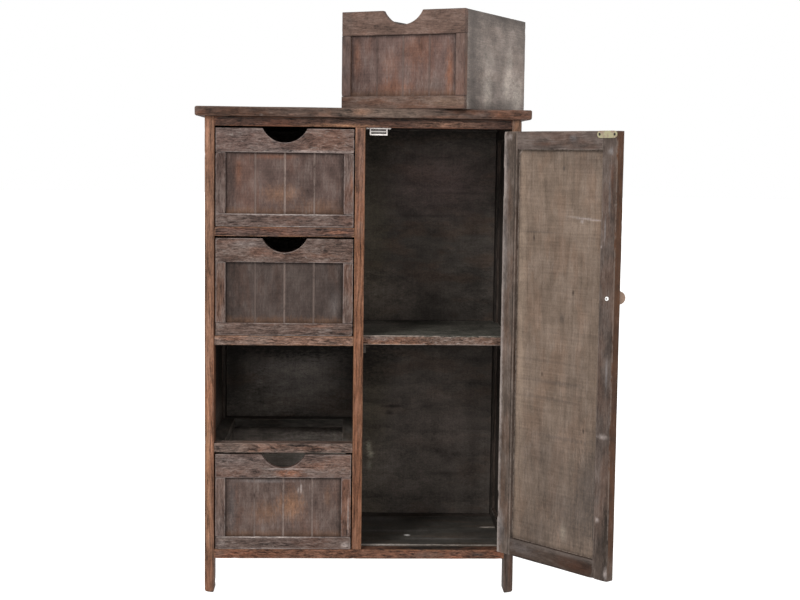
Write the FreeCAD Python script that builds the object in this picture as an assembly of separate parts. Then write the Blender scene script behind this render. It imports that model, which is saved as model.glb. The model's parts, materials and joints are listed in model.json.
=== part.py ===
import FreeCAD, Part
import math
import os

from FreeCAD import Placement, Rotation, Vector

# Bonnetiere cabinet: a column of four drawers beside a tall framed door, on four legs.
# Frame: origin on the floor under the middle of the four legs, +X to the right as one faces
# the cabinet, +Y to the back, +Z up. All sizes are in millimetres and all angles in degrees.
# The door stands open and the third drawer stands on the top board, turned, with its bay empty.

# ---- carcass ----
WIDTH = 560.0  # over the outer faces of the legs
DEPTH = 288.0  # front of the front legs to back of the rear legs
LEG_W = 17.0  # leg section across the front
LEG_D = 35.0  # leg section front to back
STILE_W = 17.5  # middle stile, between the drawers and the door
FOOT_H = 64.0  # floor to the underside of the bottom rails
FOOT_ROUND = 4.0  # rounding round the bottom of each leg
RAIL_H = 17.0  # height of every cross rail
RAIL_D = 26.0  # depth of the bottom rail and the drawer rails
SIDE_RAIL_H = 35.0  # height of the rails that join a front leg to a rear leg
EASE = 0.8  # arris taken off the long edges of frame members
DRAWER_BAY_W = 248.5  # clear width between the left leg and the middle stile
BAY_H = 177.5  # clear height of a drawer bay
BAYS = 4  # drawer bays, one above the other
RUNNER_W = 18.0  # bearing of a drawer runner beyond the leg or stile

# ---- top board ----
TOP_T = 17.0
TOP_SIDE = 17.0  # overhang at each side
TOP_FRONT = 10.0  # overhang at the front
TOP_ROUND = 3.0  # rounding of its edges
TOP_CORNER = 5.0  # rounding of its corners, seen from above

# ---- plywood and joinery ----
PLY_T = 4.0  # side panels, back panel and divider
PANEL_SET = 6.0  # side panel behind the outer faces of the legs
BOARD_T = 5.0  # bottom board of the cabinet
BOARD_LAP = 4.0  # its bearing in the rebates of the bottom rails
BACK_LAP = 9.0  # back panel's bearing on the rear legs
GROOVE = 6.0  # depth of the grooves that hold panels
PANEL_PLAY = 0.5  # room left for a panel at the bottom of its groove
TENON_L = 8.0
SHOULDER = 4.5  # wood left round a tenon

# ---- shelf ----
SHELF_T = 17.0
SHELF_FRONT = 22.0  # set back from the front of the legs
SHELF_LEVEL = 2  # its top is level with that drawer rail, counted from the top
CLEAT_W = 12.0
CLEAT_H = 17.0

# ---- door ----
DOOR_T = 17.0
DOOR_FRAME = 31.5  # width of its stiles and rails
DOOR_GAP = 1.6  # at the hinge edge and at the closing edge
DOOR_GAP_TOP = 3.9
DOOR_GAP_BOTTOM = 1.7
DOOR_PANEL_T = 6.0
DOOR_PANEL_SET = 4.5  # panel behind the frame's outer face
DOOR_OPEN_AT_REST = 130.1  # how far the door stands open
BOARDS = 4  # boards that the V-grooves mark in a panel
V_WIDTH = 2.4
V_DEPTH = 1.2

# ---- butt hinges ----
HINGE_L = 50.0
HINGE_INSET = 88.5  # door's end to the middle of the hinge
LEAF_T = 1.0
LEAF_REACH = 13.5  # leaf's edge behind the front of the leg
FOLD_GAP = 0.5  # between the leaves of a closed hinge
KNUCKLES = 5
KNUCKLE_R = 2.6
KNUCKLE_AIR = 0.3  # room round a knuckle
KNUCKLE_END = 0.2  # room between neighbouring knuckles
PIN_R = 1.2
PIN_PLAY = 0.05  # radial running clearance of the pin
PIN_HEAD_R = 1.9
PIN_HEAD_T = 0.8
LEAF_SCREWS = 3
LEAF_SCREW_PITCH = 17.0

# ---- wood screws with countersunk heads ----
SCREW_HEAD_R = 2.4
SCREW_R = 1.1
SCREW_L = 12.0
SLOT_W = 0.6
SLOT_DEEP = 0.5

# ---- strike plate and magnetic catch ----
STRIKE_L = 42.0
STRIKE_H = 12.0
STRIKE_T = 1.2
STRIKE_SCREW_PITCH = 32.0
STRIKE_INSET = 22.2  # its middle from the door's closing edge
STRIKE_DROP = 5.8  # its middle below the door's top
CATCH_L = 44.5  # flange
CATCH_BODY_L = 31.5
CATCH_D = 15.0
CATCH_H = 13.0
CATCH_FLANGE_T = 2.0
CATCH_WALL = 2.2
CATCH_AIR = 0.4  # between the shut door's strike plate and the catch
CATCH_PLATE_T = 1.2
CATCH_SCREW_PITCH = 38.0

# ---- knob ----
KNOB_R = 11.5
KNOB_H = 24.0
KNOB_BASE_R = 6.5
KNOB_NECK_R = 5.2
KNOB_FOOT = 1.2  # height of its foot ring
KNOB_INSET = 14.0  # its middle from the door's closing edge
KNOB_Z = 561.0  # above the floor
KNOB_SCREW_R = 2.0
KNOB_SCREW_GRIP = 12.0  # its length inside the knob
KNOB_SCREW_HEAD_R = 3.5
KNOB_SCREW_HEAD_H = 2.2

# ---- drawers ----
DRAWER_GAP_SIDE = 2.0
DRAWER_GAP_TOP = 3.2
DRAWER_LIFT = 0.3  # running clearance under a drawer
DRAWER_STOP = 0.3  # between a shut drawer's back and the back panel, which stops it
FRONT_T = 12.0
FRONT_TOP_RAIL = 43.0
FRONT_BOTTOM_RAIL = 23.0
FRONT_STILE = 18.0
FRONT_PANEL_T = 5.0
FRONT_PANEL_SET = 4.0  # panel behind the front's face
GRIP_R = 43.8  # radius of the scooped finger grip
GRIP_DEPTH = 25.0
SIDE_T = 9.0  # sides and back of the drawer box
SIDE_IN = 1.0  # box sides in from the ends of the front
DRAWER_BOTTOM_T = 4.0
DRAWER_BOTTOM_UP = 8.0  # underside of the bottom above the sides' lower edges
BOTTOM_GROOVE = 5.0

# ---- the drawer that stands on the top board ----
LOOSE_DRAWER = 3  # counted from the top
LOOSE_TURN = 28.5  # turned clockwise, seen from above
LOOSE_RIGHT = 174.5  # lower right corner of its front, right of the cabinet's middle
LOOSE_FORWARD = 32.0  # the same corner, in front of the legs

# ---- levels and planes that follow from the sizes above ----
X_LEFT = -WIDTH / 2
X_RIGHT = WIDTH / 2
X_BAY = (X_LEFT + LEG_W, X_LEFT + LEG_W + DRAWER_BAY_W)
X_STILE = (X_BAY[1], X_BAY[1] + STILE_W)
X_DOORWAY = (X_STILE[1], X_RIGHT - LEG_W)
Y_FRONT = -DEPTH / 2
Y_BACK = DEPTH / 2
Y_LEG_BACK = Y_FRONT + LEG_D  # back of the front legs
Y_RAIL_BACK = Y_FRONT + RAIL_D
Y_REAR = Y_BACK - LEG_D  # front of the rear legs
Y_BACK_PLY = Y_BACK - PLY_T
Z_FLOOR_BOARD = FOOT_H + RAIL_H
BAY_PITCH = BAY_H + RAIL_H
Z_TOP_RAIL = Z_FLOOR_BOARD + BAYS * BAY_PITCH - RAIL_H
LEG_H = Z_TOP_RAIL + RAIL_H
Z_TOP = LEG_H + TOP_T
DIVIDER_X = (sum(X_STILE) / 2 - PLY_T / 2, sum(X_STILE) / 2 + PLY_T / 2)
PANEL_IN = PANEL_SET + PLY_T  # inner face of a side panel, from the outer face of the legs

DOOR_X = (X_DOORWAY[0] + DOOR_GAP, X_DOORWAY[1] - DOOR_GAP)
DOOR_Z = (Z_FLOOR_BOARD + DOOR_GAP_BOTTOM, Z_TOP_RAIL - DOOR_GAP_TOP)
DOOR_INNER = Y_FRONT + DOOR_T
HINGE_X = X_DOORWAY[1] - DOOR_GAP / 2
HINGE_Y = Y_FRONT - KNUCKLE_R - KNUCKLE_AIR
HINGE_Z = (DOOR_Z[0] + HINGE_INSET, DOOR_Z[1] - HINGE_INSET)

FRONT_W = DRAWER_BAY_W - 2 * DRAWER_GAP_SIDE
FRONT_H = BAY_H - DRAWER_GAP_TOP - DRAWER_LIFT
DRAWER_DEPTH = Y_BACK_PLY - Y_FRONT - DRAWER_STOP
CUT_PAST = 1.0  # how far a cutter stands past an open face


def box(x, y, z):
    """A plain block between two values on each axis."""
    return Part.makeBox(x[1] - x[0], y[1] - y[0], z[1] - z[0], Vector(x[0], y[0], z[0]))


def prism(points, travel):
    """A closed outline of 3-D points, pushed along a vector."""
    outline = Part.makePolygon([Vector(*p) for p in points] + [Vector(*points[0])])
    return Part.Face(outline).extrude(Vector(*travel))


def eased(x, y, z, along):
    """A frame member: a block whose four long edges, along one axis, have the arris taken off."""
    spans = [x, y, z]
    axis = "xyz".index(along)
    a, b = [spans[i] for i in range(3) if i != axis]
    section = [
        (a[0] + EASE, b[0]),
        (a[1] - EASE, b[0]),
        (a[1], b[0] + EASE),
        (a[1], b[1] - EASE),
        (a[1] - EASE, b[1]),
        (a[0] + EASE, b[1]),
        (a[0], b[1] - EASE),
        (a[0], b[0] + EASE),
    ]
    points = []
    for p, q in section:
        point = [p, q]
        point.insert(axis, spans[axis][0])
        points.append(point)
    travel = [0.0, 0.0, 0.0]
    travel[axis] = spans[axis][1] - spans[axis][0]
    return prism(points, travel)


def rod(radius, base, axis, length):
    """A round bar from a base point along an axis."""
    return Part.makeCylinder(radius, length, Vector(*base), Vector(*axis))


def with_tenons(member, x, y, z, along, ends=(True, True)):
    """A member joined to the tenons at its ends; x, y, z give the tenons' section and the member's length."""
    spans = [x, y, z]
    axis = "xyz".index(along)
    low, high = spans[axis]
    for wanted, reach in zip(ends, ((low - TENON_L, low), (high, high + TENON_L))):
        if wanted:
            spans[axis] = reach
            member = member.fuse(box(*spans))
    return member.removeSplitter()


def inside(span, edge=SHOULDER):
    """A span made smaller by the same edge at both ends."""
    return (span[0] + edge, span[1] - edge)


def grow(span, by):
    return (span[0] - by, span[1] + by)


def mirrored(shape):
    return shape.mirror(Vector(0, 0, 0), Vector(1, 0, 0))


def countersunk_screw(head, axis):
    """A slotted wood screw: the middle of its head, and the way it goes in."""
    sink = SCREW_HEAD_R - SCREW_R
    at = Vector(*head)
    way = Vector(*axis)
    cone = Part.makeCone(SCREW_HEAD_R, SCREW_R, sink, at, way)
    shank = Part.makeCylinder(SCREW_R, SCREW_L - sink, at + way * sink, way)
    slot = Part.makeBox(2 * SCREW_HEAD_R, SLOT_W, SLOT_DEEP, Vector(-SCREW_HEAD_R, -SLOT_W / 2, 0))
    slot.Placement = Placement(at, Rotation(Vector(0, 0, 1), way))
    return cone.fuse(shank).removeSplitter(), slot


def v_grooved(x, y, z, field):
    """A panel whose front face, at the low y, has V-grooves that divide the field into boards."""
    section = [(x[0], y[0], z[0])]
    pitch = (field[1] - field[0]) / BOARDS
    for i in range(1, BOARDS):
        middle = field[0] + i * pitch
        section.append((middle - V_WIDTH / 2, y[0], z[0]))
        section.append((middle, y[0] + V_DEPTH, z[0]))
        section.append((middle + V_WIDTH / 2, y[0], z[0]))
    section += [(x[1], y[0], z[0]), (x[1], y[1], z[0]), (x[0], y[1], z[0])]
    return prism(section, (0, 0, z[1] - z[0]))


# =============================== carcass ===============================


def leg(x, y):
    """A leg with eased long edges and its foot rounded on all four sides."""
    shaft = eased(x, y, (0, LEG_H), "z")
    for span, axis, across in ((x, (0, 1, 0), y), (y, (1, 0, 0), x)):
        low, high = span
        r = FOOT_ROUND
        k = r * math.sqrt(0.5)

        def at(s, h):
            return Vector(s, across[0], h) if axis == (0, 1, 0) else Vector(across[0], s, h)

        edges = [
            Part.makeLine(at(low, LEG_H), at(low, r)),
            Part.Arc(at(low, r), at(low + r - k, r - k), at(low + r, 0)).toShape(),
            Part.makeLine(at(low + r, 0), at(high - r, 0)),
            Part.Arc(at(high - r, 0), at(high - r + k, r - k), at(high, r)).toShape(),
            Part.makeLine(at(high, r), at(high, LEG_H)),
            Part.makeLine(at(high, LEG_H), at(low, LEG_H)),
        ]
        outline = Part.Face(Part.Wire(edges))
        shaft = shaft.common(outline.extrude(Vector(*axis) * (across[1] - across[0])))
    return shaft


def bay_floor(number):
    """Height of the rail under a drawer; drawer 1 is at the top."""
    return Z_FLOOR_BOARD + (BAYS - number) * BAY_PITCH


def cross_rail(x, y, z, tenon_y, ends=(True, True)):
    return with_tenons(eased(x, y, z, "x"), x, tenon_y, inside(z), "x", ends)


def make_carcass():
    """The fixed frame and its boards, each piece already cut for what it receives."""
    part = {}
    bottom_z = (FOOT_H, Z_FLOOR_BOARD)
    top_z = (Z_TOP_RAIL, LEG_H)
    between_legs = (X_BAY[0], X_DOORWAY[1])
    front_tenon = (Y_FRONT + SHOULDER, Y_FRONT + min(RAIL_D, LEG_D - TENON_L) - SHOULDER)
    rear_tenon = (Y_REAR + TENON_L + SHOULDER, Y_BACK_PLY - SHOULDER)
    front_y = (Y_FRONT, Y_LEG_BACK)
    rail_y = (Y_FRONT, Y_RAIL_BACK)
    rear_y = (Y_REAR, Y_BACK_PLY)
    side_y = (Y_LEG_BACK, Y_REAR)

    # side frames: left and right are mirror images
    leg_x = (X_LEFT, X_LEFT + LEG_W)
    side_tenon_x = inside(leg_x)
    side_z = {"top": (LEG_H - SIDE_RAIL_H, LEG_H), "bottom": (FOOT_H, FOOT_H + SIDE_RAIL_H)}
    side_rails = {}
    for level, z in side_z.items():
        bar = eased(leg_x, side_y, z, "y")
        side_rails[level] = with_tenons(bar, side_tenon_x, side_y, inside(z), "y")
    panel_x = (X_LEFT + PANEL_SET, X_LEFT + PANEL_IN)
    field_z = (side_z["bottom"][1], side_z["top"][0])
    panel = box(panel_x, grow(side_y, GROOVE - PANEL_PLAY), grow(field_z, GROOVE - PANEL_PLAY))
    panel_groove = box(panel_x, grow(side_y, GROOVE), grow(field_z, GROOVE))
    for side, turn in (("left", lambda s: s), ("right", mirrored)):
        part["leg_front_" + side] = turn(leg(leg_x, front_y))
        part["leg_rear_" + side] = turn(leg(leg_x, (Y_REAR, Y_BACK)))
        part["side_panel_" + side] = turn(panel)
        rails = [turn(rail) for rail in side_rails.values()]
        groove = turn(panel_groove)
        for name in ("leg_front_" + side, "leg_rear_" + side):
            part[name] = part[name].cut(groove).cut(rails)
        part["side_rails_" + side] = [rail.cut(groove) for rail in rails]

    # rails from leg to leg, and the two middle stiles between them
    part["bottom_rail_front"] = cross_rail(between_legs, rail_y, bottom_z, front_tenon)
    part["bottom_rail_rear"] = cross_rail(between_legs, rear_y, bottom_z, rear_tenon)
    part["top_rail_front"] = cross_rail(between_legs, front_y, top_z, front_tenon)
    part["top_rail_rear"] = cross_rail(between_legs, rear_y, top_z, rear_tenon)
    stile_z = (Z_FLOOR_BOARD, Z_TOP_RAIL)
    for name, y, tenon_y in (("front", front_y, front_tenon), ("rear", rear_y, rear_tenon)):
        post = eased(X_STILE, y, stile_z, "z")
        post = with_tenons(post, inside(X_STILE), tenon_y, stile_z, "z")
        part["middle_stile_" + name] = post
        for rail in ("top_rail_", "bottom_rail_"):
            part[rail + name] = part[rail + name].cut(post)

    # divider and back
    divider_y = grow((Y_LEG_BACK, Y_REAR), GROOVE - PANEL_PLAY)
    part["divider_panel"] = box(DIVIDER_X, divider_y, (Z_FLOOR_BOARD, LEG_H))
    divider_groove = box(DIVIDER_X, grow((Y_LEG_BACK, Y_REAR), GROOVE), (Z_FLOOR_BOARD, LEG_H))
    for name in ("middle_stile_front", "middle_stile_rear", "top_rail_front", "top_rail_rear"):
        part[name] = part[name].cut(divider_groove)
    back_x = (X_BAY[0] - BACK_LAP, X_DOORWAY[1] + BACK_LAP)
    part["back_panel"] = box(back_x, (Y_BACK_PLY, Y_BACK), (FOOT_H, LEG_H))
    for side in ("left", "right"):
        part["leg_rear_" + side] = part["leg_rear_" + side].cut(part["back_panel"])

    # bottom board, let into rebates of the four bottom rails and notched round the legs
    board = box(
        grow(between_legs, BOARD_LAP),
        (Y_RAIL_BACK - BOARD_LAP, Y_REAR + BOARD_LAP),
        (Z_FLOOR_BOARD - BOARD_T, Z_FLOOR_BOARD),
    )
    corner_z = (FOOT_H, LEG_H)
    for x in ((X_LEFT, X_BAY[0]), (X_DOORWAY[1], X_RIGHT)):
        for y in (front_y, (Y_REAR, Y_BACK)):
            board = board.cut(box(x, y, corner_z))
    for name in ("bottom_rail_front", "bottom_rail_rear"):
        part[name] = part[name].cut(board)
    for side in ("left", "right"):
        part["side_rails_" + side] = [rail.cut(board) for rail in part["side_rails_" + side]]
    part["bottom_board"] = board

    add_drawer_frames(part, rail_y, rear_y, side_y, front_tenon, rear_tenon)
    add_shelf(part, side_y)
    for name in ("leg_front_left", "leg_front_right"):
        part[name] = part[name].cut([part["bottom_rail_front"], part["top_rail_front"]])
    for name in ("leg_rear_left", "leg_rear_right"):
        part[name] = part[name].cut([part["bottom_rail_rear"], part["top_rail_rear"]])
    part["top_board"] = make_top_board()
    return part


def add_drawer_frames(part, rail_y, rear_y, side_y, front_tenon, rear_tenon):
    """Under each drawer but the lowest: a front rail, two runners and a rear rail round an open middle."""
    for number in range(1, BAYS):
        z = (bay_floor(number) - RAIL_H, bay_floor(number))
        front = cross_rail(X_BAY, rail_y, z, front_tenon)
        rear = cross_rail(X_BAY, rear_y, z, rear_tenon)
        for name, rail in (("front_left", front), ("rear_left", rear)):
            part["leg_" + name] = part["leg_" + name].cut(rail)
        for name, rail in (("front", front), ("rear", rear)):
            part["middle_stile_" + name] = part["middle_stile_" + name].cut(rail)
        runners = []
        seen_left = (X_BAY[0], X_BAY[0] + RUNNER_W)
        seen_right = (X_BAY[1] - RUNNER_W, X_BAY[1])
        full_left = (X_LEFT + PANEL_IN, seen_left[1])
        full_right = (seen_right[0], DIVIDER_X[0])
        for seen, full in ((seen_left, full_left), (seen_right, full_right)):
            runner = box(full, side_y, z).fuse(box(seen, (Y_RAIL_BACK, Y_LEG_BACK), z))
            runner = with_tenons(runner, inside(seen), (Y_RAIL_BACK, Y_REAR), inside(z), "y")
            front = front.cut(runner)
            rear = rear.cut(runner)
            runners.append(runner)
        part["drawer_rail_%d" % number] = front
        part.setdefault("rear_drawer_rails", []).append(rear)
        part["drawer_runners_%d" % number] = runners


def add_shelf(part, side_y):
    """The fixed shelf beside the drawers, notched round legs and stiles, on two cleats."""
    top = bay_floor(SHELF_LEVEL)
    under = top - SHELF_T
    x = (DIVIDER_X[1], X_RIGHT - PANEL_IN)
    shelf = eased(x, (Y_FRONT + SHELF_FRONT, Y_BACK_PLY), (under, top), "x")
    for post_x in (X_STILE, (X_DOORWAY[1], X_RIGHT)):
        for post_y in ((Y_FRONT, Y_LEG_BACK), (Y_REAR, Y_BACK)):
            shelf = shelf.cut(box(post_x, post_y, (under, top)))
    part["shelf"] = shelf
    cleat_z = (under - CLEAT_H, under)
    part["shelf_cleats"] = [
        eased((x[0], x[0] + CLEAT_W), side_y, cleat_z, "y"),
        eased((x[1] - CLEAT_W, x[1]), side_y, cleat_z, "y"),
    ]


def make_top_board():
    board = box(
        (X_LEFT - TOP_SIDE, X_RIGHT + TOP_SIDE),
        (Y_FRONT - TOP_FRONT, Y_BACK),
        (LEG_H, Z_TOP),
    )
    upright = [e for e in board.Edges if e.BoundBox.ZLength > TOP_T / 2]
    board = board.makeFillet(TOP_CORNER, upright)
    rims = [e for e in board.Edges if e.BoundBox.ZLength < TOP_T / 2]
    return board.makeFillet(TOP_ROUND, rims)


# =============================== door ===============================


def make_door(part):
    """The framed door in its shut place, with its furniture; leaves its mortises in the carcass."""
    x, z = DOOR_X, DOOR_Z
    y = (Y_FRONT, DOOR_INNER)
    field_x = inside(x, DOOR_FRAME)
    field_z = inside(z, DOOR_FRAME)
    panel_y = (Y_FRONT + DOOR_PANEL_SET, Y_FRONT + DOOR_PANEL_SET + DOOR_PANEL_T)
    door = {}
    groove = box(grow(field_x, GROOVE), panel_y, grow(field_z, GROOVE))
    stile_groove = box(grow(field_x, GROOVE), panel_y, z)
    for name, span in (("hinge", (field_x[1], x[1])), ("lock", (x[0], field_x[0]))):
        door["door_stile_" + name] = eased(span, y, z, "z").cut(stile_groove)
    for name, span in (("top", (field_z[1], z[1])), ("bottom", (z[0], field_z[0]))):
        rail = eased(field_x, y, span, "x")
        rail = rail.fuse(box(grow(field_x, GROOVE), panel_y, span)).removeSplitter()
        door["door_rail_" + name] = rail.cut(groove)
    loose = GROOVE - PANEL_PLAY
    door["door_panel"] = v_grooved(grow(field_x, loose), panel_y, grow(field_z, loose), field_x)
    add_knob(door)
    add_strike_plate(door)
    add_hinges(door, part)
    return door


def add_knob(door):
    """A turned ball knob, and the machine screw that holds it through the closing stile."""
    x = DOOR_X[0] + KNOB_INSET
    reach = math.sqrt(KNOB_R**2 - KNOB_NECK_R**2)
    middle = KNOB_H - KNOB_R
    neck = middle - reach

    def at(radius, height):
        return Vector(x + radius, Y_FRONT - height, KNOB_Z)

    profile = [
        Part.makeLine(at(0, 0), at(KNOB_BASE_R, 0)),
        Part.makeLine(at(KNOB_BASE_R, 0), at(KNOB_BASE_R, KNOB_FOOT)),
        Part.makeLine(at(KNOB_BASE_R, KNOB_FOOT), at(KNOB_NECK_R, neck)),
        Part.Arc(at(KNOB_NECK_R, neck), at(KNOB_R, middle), at(0, KNOB_H)).toShape(),
        Part.makeLine(at(0, KNOB_H), at(0, 0)),
    ]
    knob = Part.Face(Part.Wire(profile)).revolve(at(0, 0), Vector(0, 1, 0), 360)
    shank_l = DOOR_T + KNOB_SCREW_GRIP
    shank = rod(KNOB_SCREW_R, (x, DOOR_INNER, KNOB_Z), (0, -1, 0), shank_l)
    head = rod(KNOB_SCREW_HEAD_R, (x, DOOR_INNER, KNOB_Z), (0, 1, 0), KNOB_SCREW_HEAD_H)
    rim = [e for e in head.Edges if e.Closed and e.CenterOfMass.y > DOOR_INNER + EASE]
    head = head.makeFillet(KNOB_SCREW_HEAD_H / 2, rim)
    door["door_knob"] = knob.cut(shank)
    door["door_stile_lock"] = door["door_stile_lock"].cut(shank)
    slot = box(
        (x - KNOB_SCREW_HEAD_R, x + KNOB_SCREW_HEAD_R),
        (DOOR_INNER + KNOB_SCREW_HEAD_H / 2, DOOR_INNER + KNOB_SCREW_HEAD_H),
        (KNOB_Z - SLOT_W / 2, KNOB_Z + SLOT_W / 2),
    )
    door["knob_screw"] = head.fuse(shank).removeSplitter().cut(slot)


def add_strike_plate(door):
    """The plate with rounded ends that the magnet holds, on the inner face of the door."""
    x = DOOR_X[0] + STRIKE_INSET
    z = DOOR_Z[1] - STRIKE_DROP
    half = STRIKE_L / 2 - STRIKE_H / 2
    y = (DOOR_INNER, DOOR_INNER + STRIKE_T)
    plate = box((x - half, x + half), y, (z - STRIKE_H / 2, z + STRIKE_H / 2))
    for end in (-half, half):
        plate = plate.fuse(rod(STRIKE_H / 2, (x + end, y[0], z), (0, 1, 0), STRIKE_T))
    plate = plate.removeSplitter()
    screws = []
    for side in (-1, 1):
        head = (x + side * STRIKE_SCREW_PITCH / 2, y[1], z)
        screw, slot = countersunk_screw(head, (0, -1, 0))
        plate = plate.cut(screw)
        for name in ("door_stile_lock", "door_rail_top"):
            door[name] = door[name].cut(screw)
        screws.append(screw.cut(slot))
    door["strike_plate"] = plate
    door["strike_screws"] = screws


def hinge_leaf(middle, side):
    """One leaf of a shut butt hinge: side +1 lies on the leg, side -1 on the door's edge."""
    z = (middle - HINGE_L / 2, middle + HINGE_L / 2)
    near = HINGE_X + side * FOLD_GAP / 2
    plate_x = sorted((near, near + side * LEAF_T))
    plate = box(plate_x, (HINGE_Y, Y_FRONT + LEAF_REACH), z)
    pitch = HINGE_L / KNUCKLES
    own = 0 if side > 0 else 1
    for i in range(KNUCKLES):
        low = z[0] + i * pitch
        if i % 2 == own:
            trim_low = KNUCKLE_END / 2 if i > 0 else 0.0
            trim_high = KNUCKLE_END / 2 if i < KNUCKLES - 1 else 0.0
            base = (HINGE_X, HINGE_Y, low + trim_low)
            plate = plate.fuse(rod(KNUCKLE_R, base, (0, 0, 1), pitch - trim_low - trim_high))
        else:
            base = (HINGE_X, HINGE_Y, low - KNUCKLE_END / 2)
            plate = plate.cut(
                rod(KNUCKLE_R + KNUCKLE_AIR, base, (0, 0, 1), pitch + KNUCKLE_END)
            )
    bore = rod(PIN_R + PIN_PLAY, (HINGE_X, HINGE_Y, z[0] - CUT_PAST), (0, 0, 1), HINGE_L + 2 * CUT_PAST)
    return plate.removeSplitter().cut(bore)


def leaf_screws(middle, side):
    """The screws of one leaf, with their slots, through the leaf and into the wood behind it."""
    y = (Y_FRONT + LEAF_REACH) / 2 + (HINGE_Y + 2 * KNUCKLE_R) / 2
    x = HINGE_X + side * FOLD_GAP / 2
    found = []
    for i in range(LEAF_SCREWS):
        z = middle + (i - (LEAF_SCREWS - 1) / 2) * LEAF_SCREW_PITCH
        found.append(countersunk_screw((x, y, z), (side, 0, 0)))
    return found


def add_hinges(door, part):
    """Two butt hinges, let into the leg and into the door's edge, with their pins and screws."""
    part["hinge_pins"] = []
    mates = ((part, 1, "leg", "leg_front_right"), (door, -1, "door", "door_stile_hinge"))
    for owner, _, label, _ in mates:
        owner["hinge_leaves_" + label] = []
        owner["hinge_screws_" + label] = []
    for middle in HINGE_Z:
        z = (middle - HINGE_L / 2, middle + HINGE_L / 2)
        for owner, side, label, wood in mates:
            leaf = hinge_leaf(middle, side)
            far = HINGE_X + side * (FOLD_GAP / 2 + LEAF_T)
            pocket = box(sorted((HINGE_X, far)), (HINGE_Y, Y_FRONT + LEAF_REACH), z)
            owner[wood] = owner[wood].cut(pocket)
            for screw, slot in leaf_screws(middle, side):
                leaf = leaf.cut(screw)
                owner[wood] = owner[wood].cut(screw)
                owner["hinge_screws_" + label].append(screw.cut(slot))
            owner["hinge_leaves_" + label].append(leaf)
        pin = rod(PIN_R, (HINGE_X, HINGE_Y, z[0]), (0, 0, 1), HINGE_L)
        for base in (z[0] - PIN_HEAD_T, z[1]):
            pin = pin.fuse(rod(PIN_HEAD_R, (HINGE_X, HINGE_Y, base), (0, 0, 1), PIN_HEAD_T))
        part["hinge_pins"].append(pin.removeSplitter())


def add_catch(part):
    """The magnetic catch under the top rail, where the shut door's strike plate meets it."""
    x = DOOR_X[0] + STRIKE_INSET
    front = DOOR_INNER + STRIKE_T + CATCH_AIR
    y = (front, front + CATCH_D)
    z = (Z_TOP_RAIL - CATCH_H, Z_TOP_RAIL)
    half = CATCH_BODY_L / 2
    body = box((x - half, x + half), y, z)
    flange_x = (x - CATCH_L / 2, x + CATCH_L / 2)
    flange = box(flange_x, inside(y, CATCH_WALL), (z[1] - CATCH_FLANGE_T, z[1]))
    upright = [e for e in flange.Edges if e.BoundBox.ZLength > CATCH_FLANGE_T / 2]
    flange = flange.makeFillet(CATCH_WALL, upright)
    room_x = (x - half + CATCH_WALL, x + half - CATCH_WALL)
    room_z = (z[0] + CATCH_WALL, z[1] - CATCH_WALL)
    room = box(room_x, (y[0], y[1] - CATCH_WALL), room_z)
    body = body.fuse(flange).removeSplitter().cut(room)
    part["magnet_parts"] = [
        box(room_x, (y[0], y[1] - CATCH_WALL), (room_z[0], room_z[0] + CATCH_PLATE_T)),
        box(room_x, (y[0], y[1] - CATCH_WALL), (room_z[1] - CATCH_PLATE_T, room_z[1])),
        box(room_x, (y[0] + CATCH_PLATE_T, y[1] - CATCH_WALL), inside(room_z, CATCH_PLATE_T)),
    ]
    screws = []
    for side in (-1, 1):
        head = (x + side * CATCH_SCREW_PITCH / 2, sum(y) / 2, z[1] - CATCH_FLANGE_T)
        screw, slot = countersunk_screw(head, (0, 0, 1))
        body = body.cut(screw)
        part["top_rail_front"] = part["top_rail_front"].cut(screw)
        screws.append(screw.cut(slot))
    part["catch_body"] = body
    part["catch_screws"] = screws


# =============================== drawers ===============================


def make_drawer():
    """One drawer with the lower left corner of its front at the origin, facing -Y."""
    w, d, h, t = FRONT_W, DRAWER_DEPTH, FRONT_H, FRONT_T
    front_y = (0, t)
    panel_y = (FRONT_PANEL_SET, FRONT_PANEL_SET + FRONT_PANEL_T)
    field_x = inside((0, w), FRONT_STILE)
    field_z = (FRONT_BOTTOM_RAIL, h - FRONT_TOP_RAIL)
    rail_groove = box((0, w), panel_y, grow(field_z, GROOVE))
    panel_room = box(grow(field_x, GROOVE), panel_y, grow(field_z, GROOVE))
    grip = rod(GRIP_R, (w / 2, -CUT_PAST, h + GRIP_R - GRIP_DEPTH), (0, 1, 0), t + 2 * CUT_PAST)
    top_rail = eased((0, w), front_y, (field_z[1], h), "x").cut([rail_groove, grip])

    box_x = inside((0, w), SIDE_IN)
    inner_x = inside(box_x, SIDE_T)
    sides_y = (t, d)
    inner_y = (t, d - SIDE_T)
    bottom_z = (DRAWER_BOTTOM_UP, DRAWER_BOTTOM_UP + DRAWER_BOTTOM_T)
    bottom = box(
        grow(inner_x, BOTTOM_GROOVE - PANEL_PLAY),
        grow(inner_y, BOTTOM_GROOVE - PANEL_PLAY),
        bottom_z,
    )
    bottom_room = box(grow(inner_x, BOTTOM_GROOVE), grow(inner_y, BOTTOM_GROOVE), bottom_z)
    bottom_rail = eased((0, w), front_y, (0, field_z[0]), "x").cut([rail_groove, bottom_room])
    stiles = []
    for x in ((0, field_x[0]), (field_x[1], w)):
        stile = eased(x, front_y, field_z, "z").fuse(box(x, panel_y, grow(field_z, GROOVE)))
        stiles.append(stile.removeSplitter().cut(panel_room))
    loose = GROOVE - PANEL_PLAY
    panel = v_grooved(grow(field_x, loose), panel_y, grow(field_z, loose), field_x)

    sides = [
        box((box_x[0], inner_x[0]), sides_y, (0, h)).cut(bottom_room),
        box((inner_x[1], box_x[1]), sides_y, (0, h)).cut(bottom_room),
    ]
    back = box(inner_x, (d - SIDE_T, d), (0, h)).cut(bottom_room)
    return {
        "grip_rail": [top_rail],
        "front_frame": [bottom_rail] + stiles,
        "front_panel": [panel],
        "box": sides + [back, bottom],
    }


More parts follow.
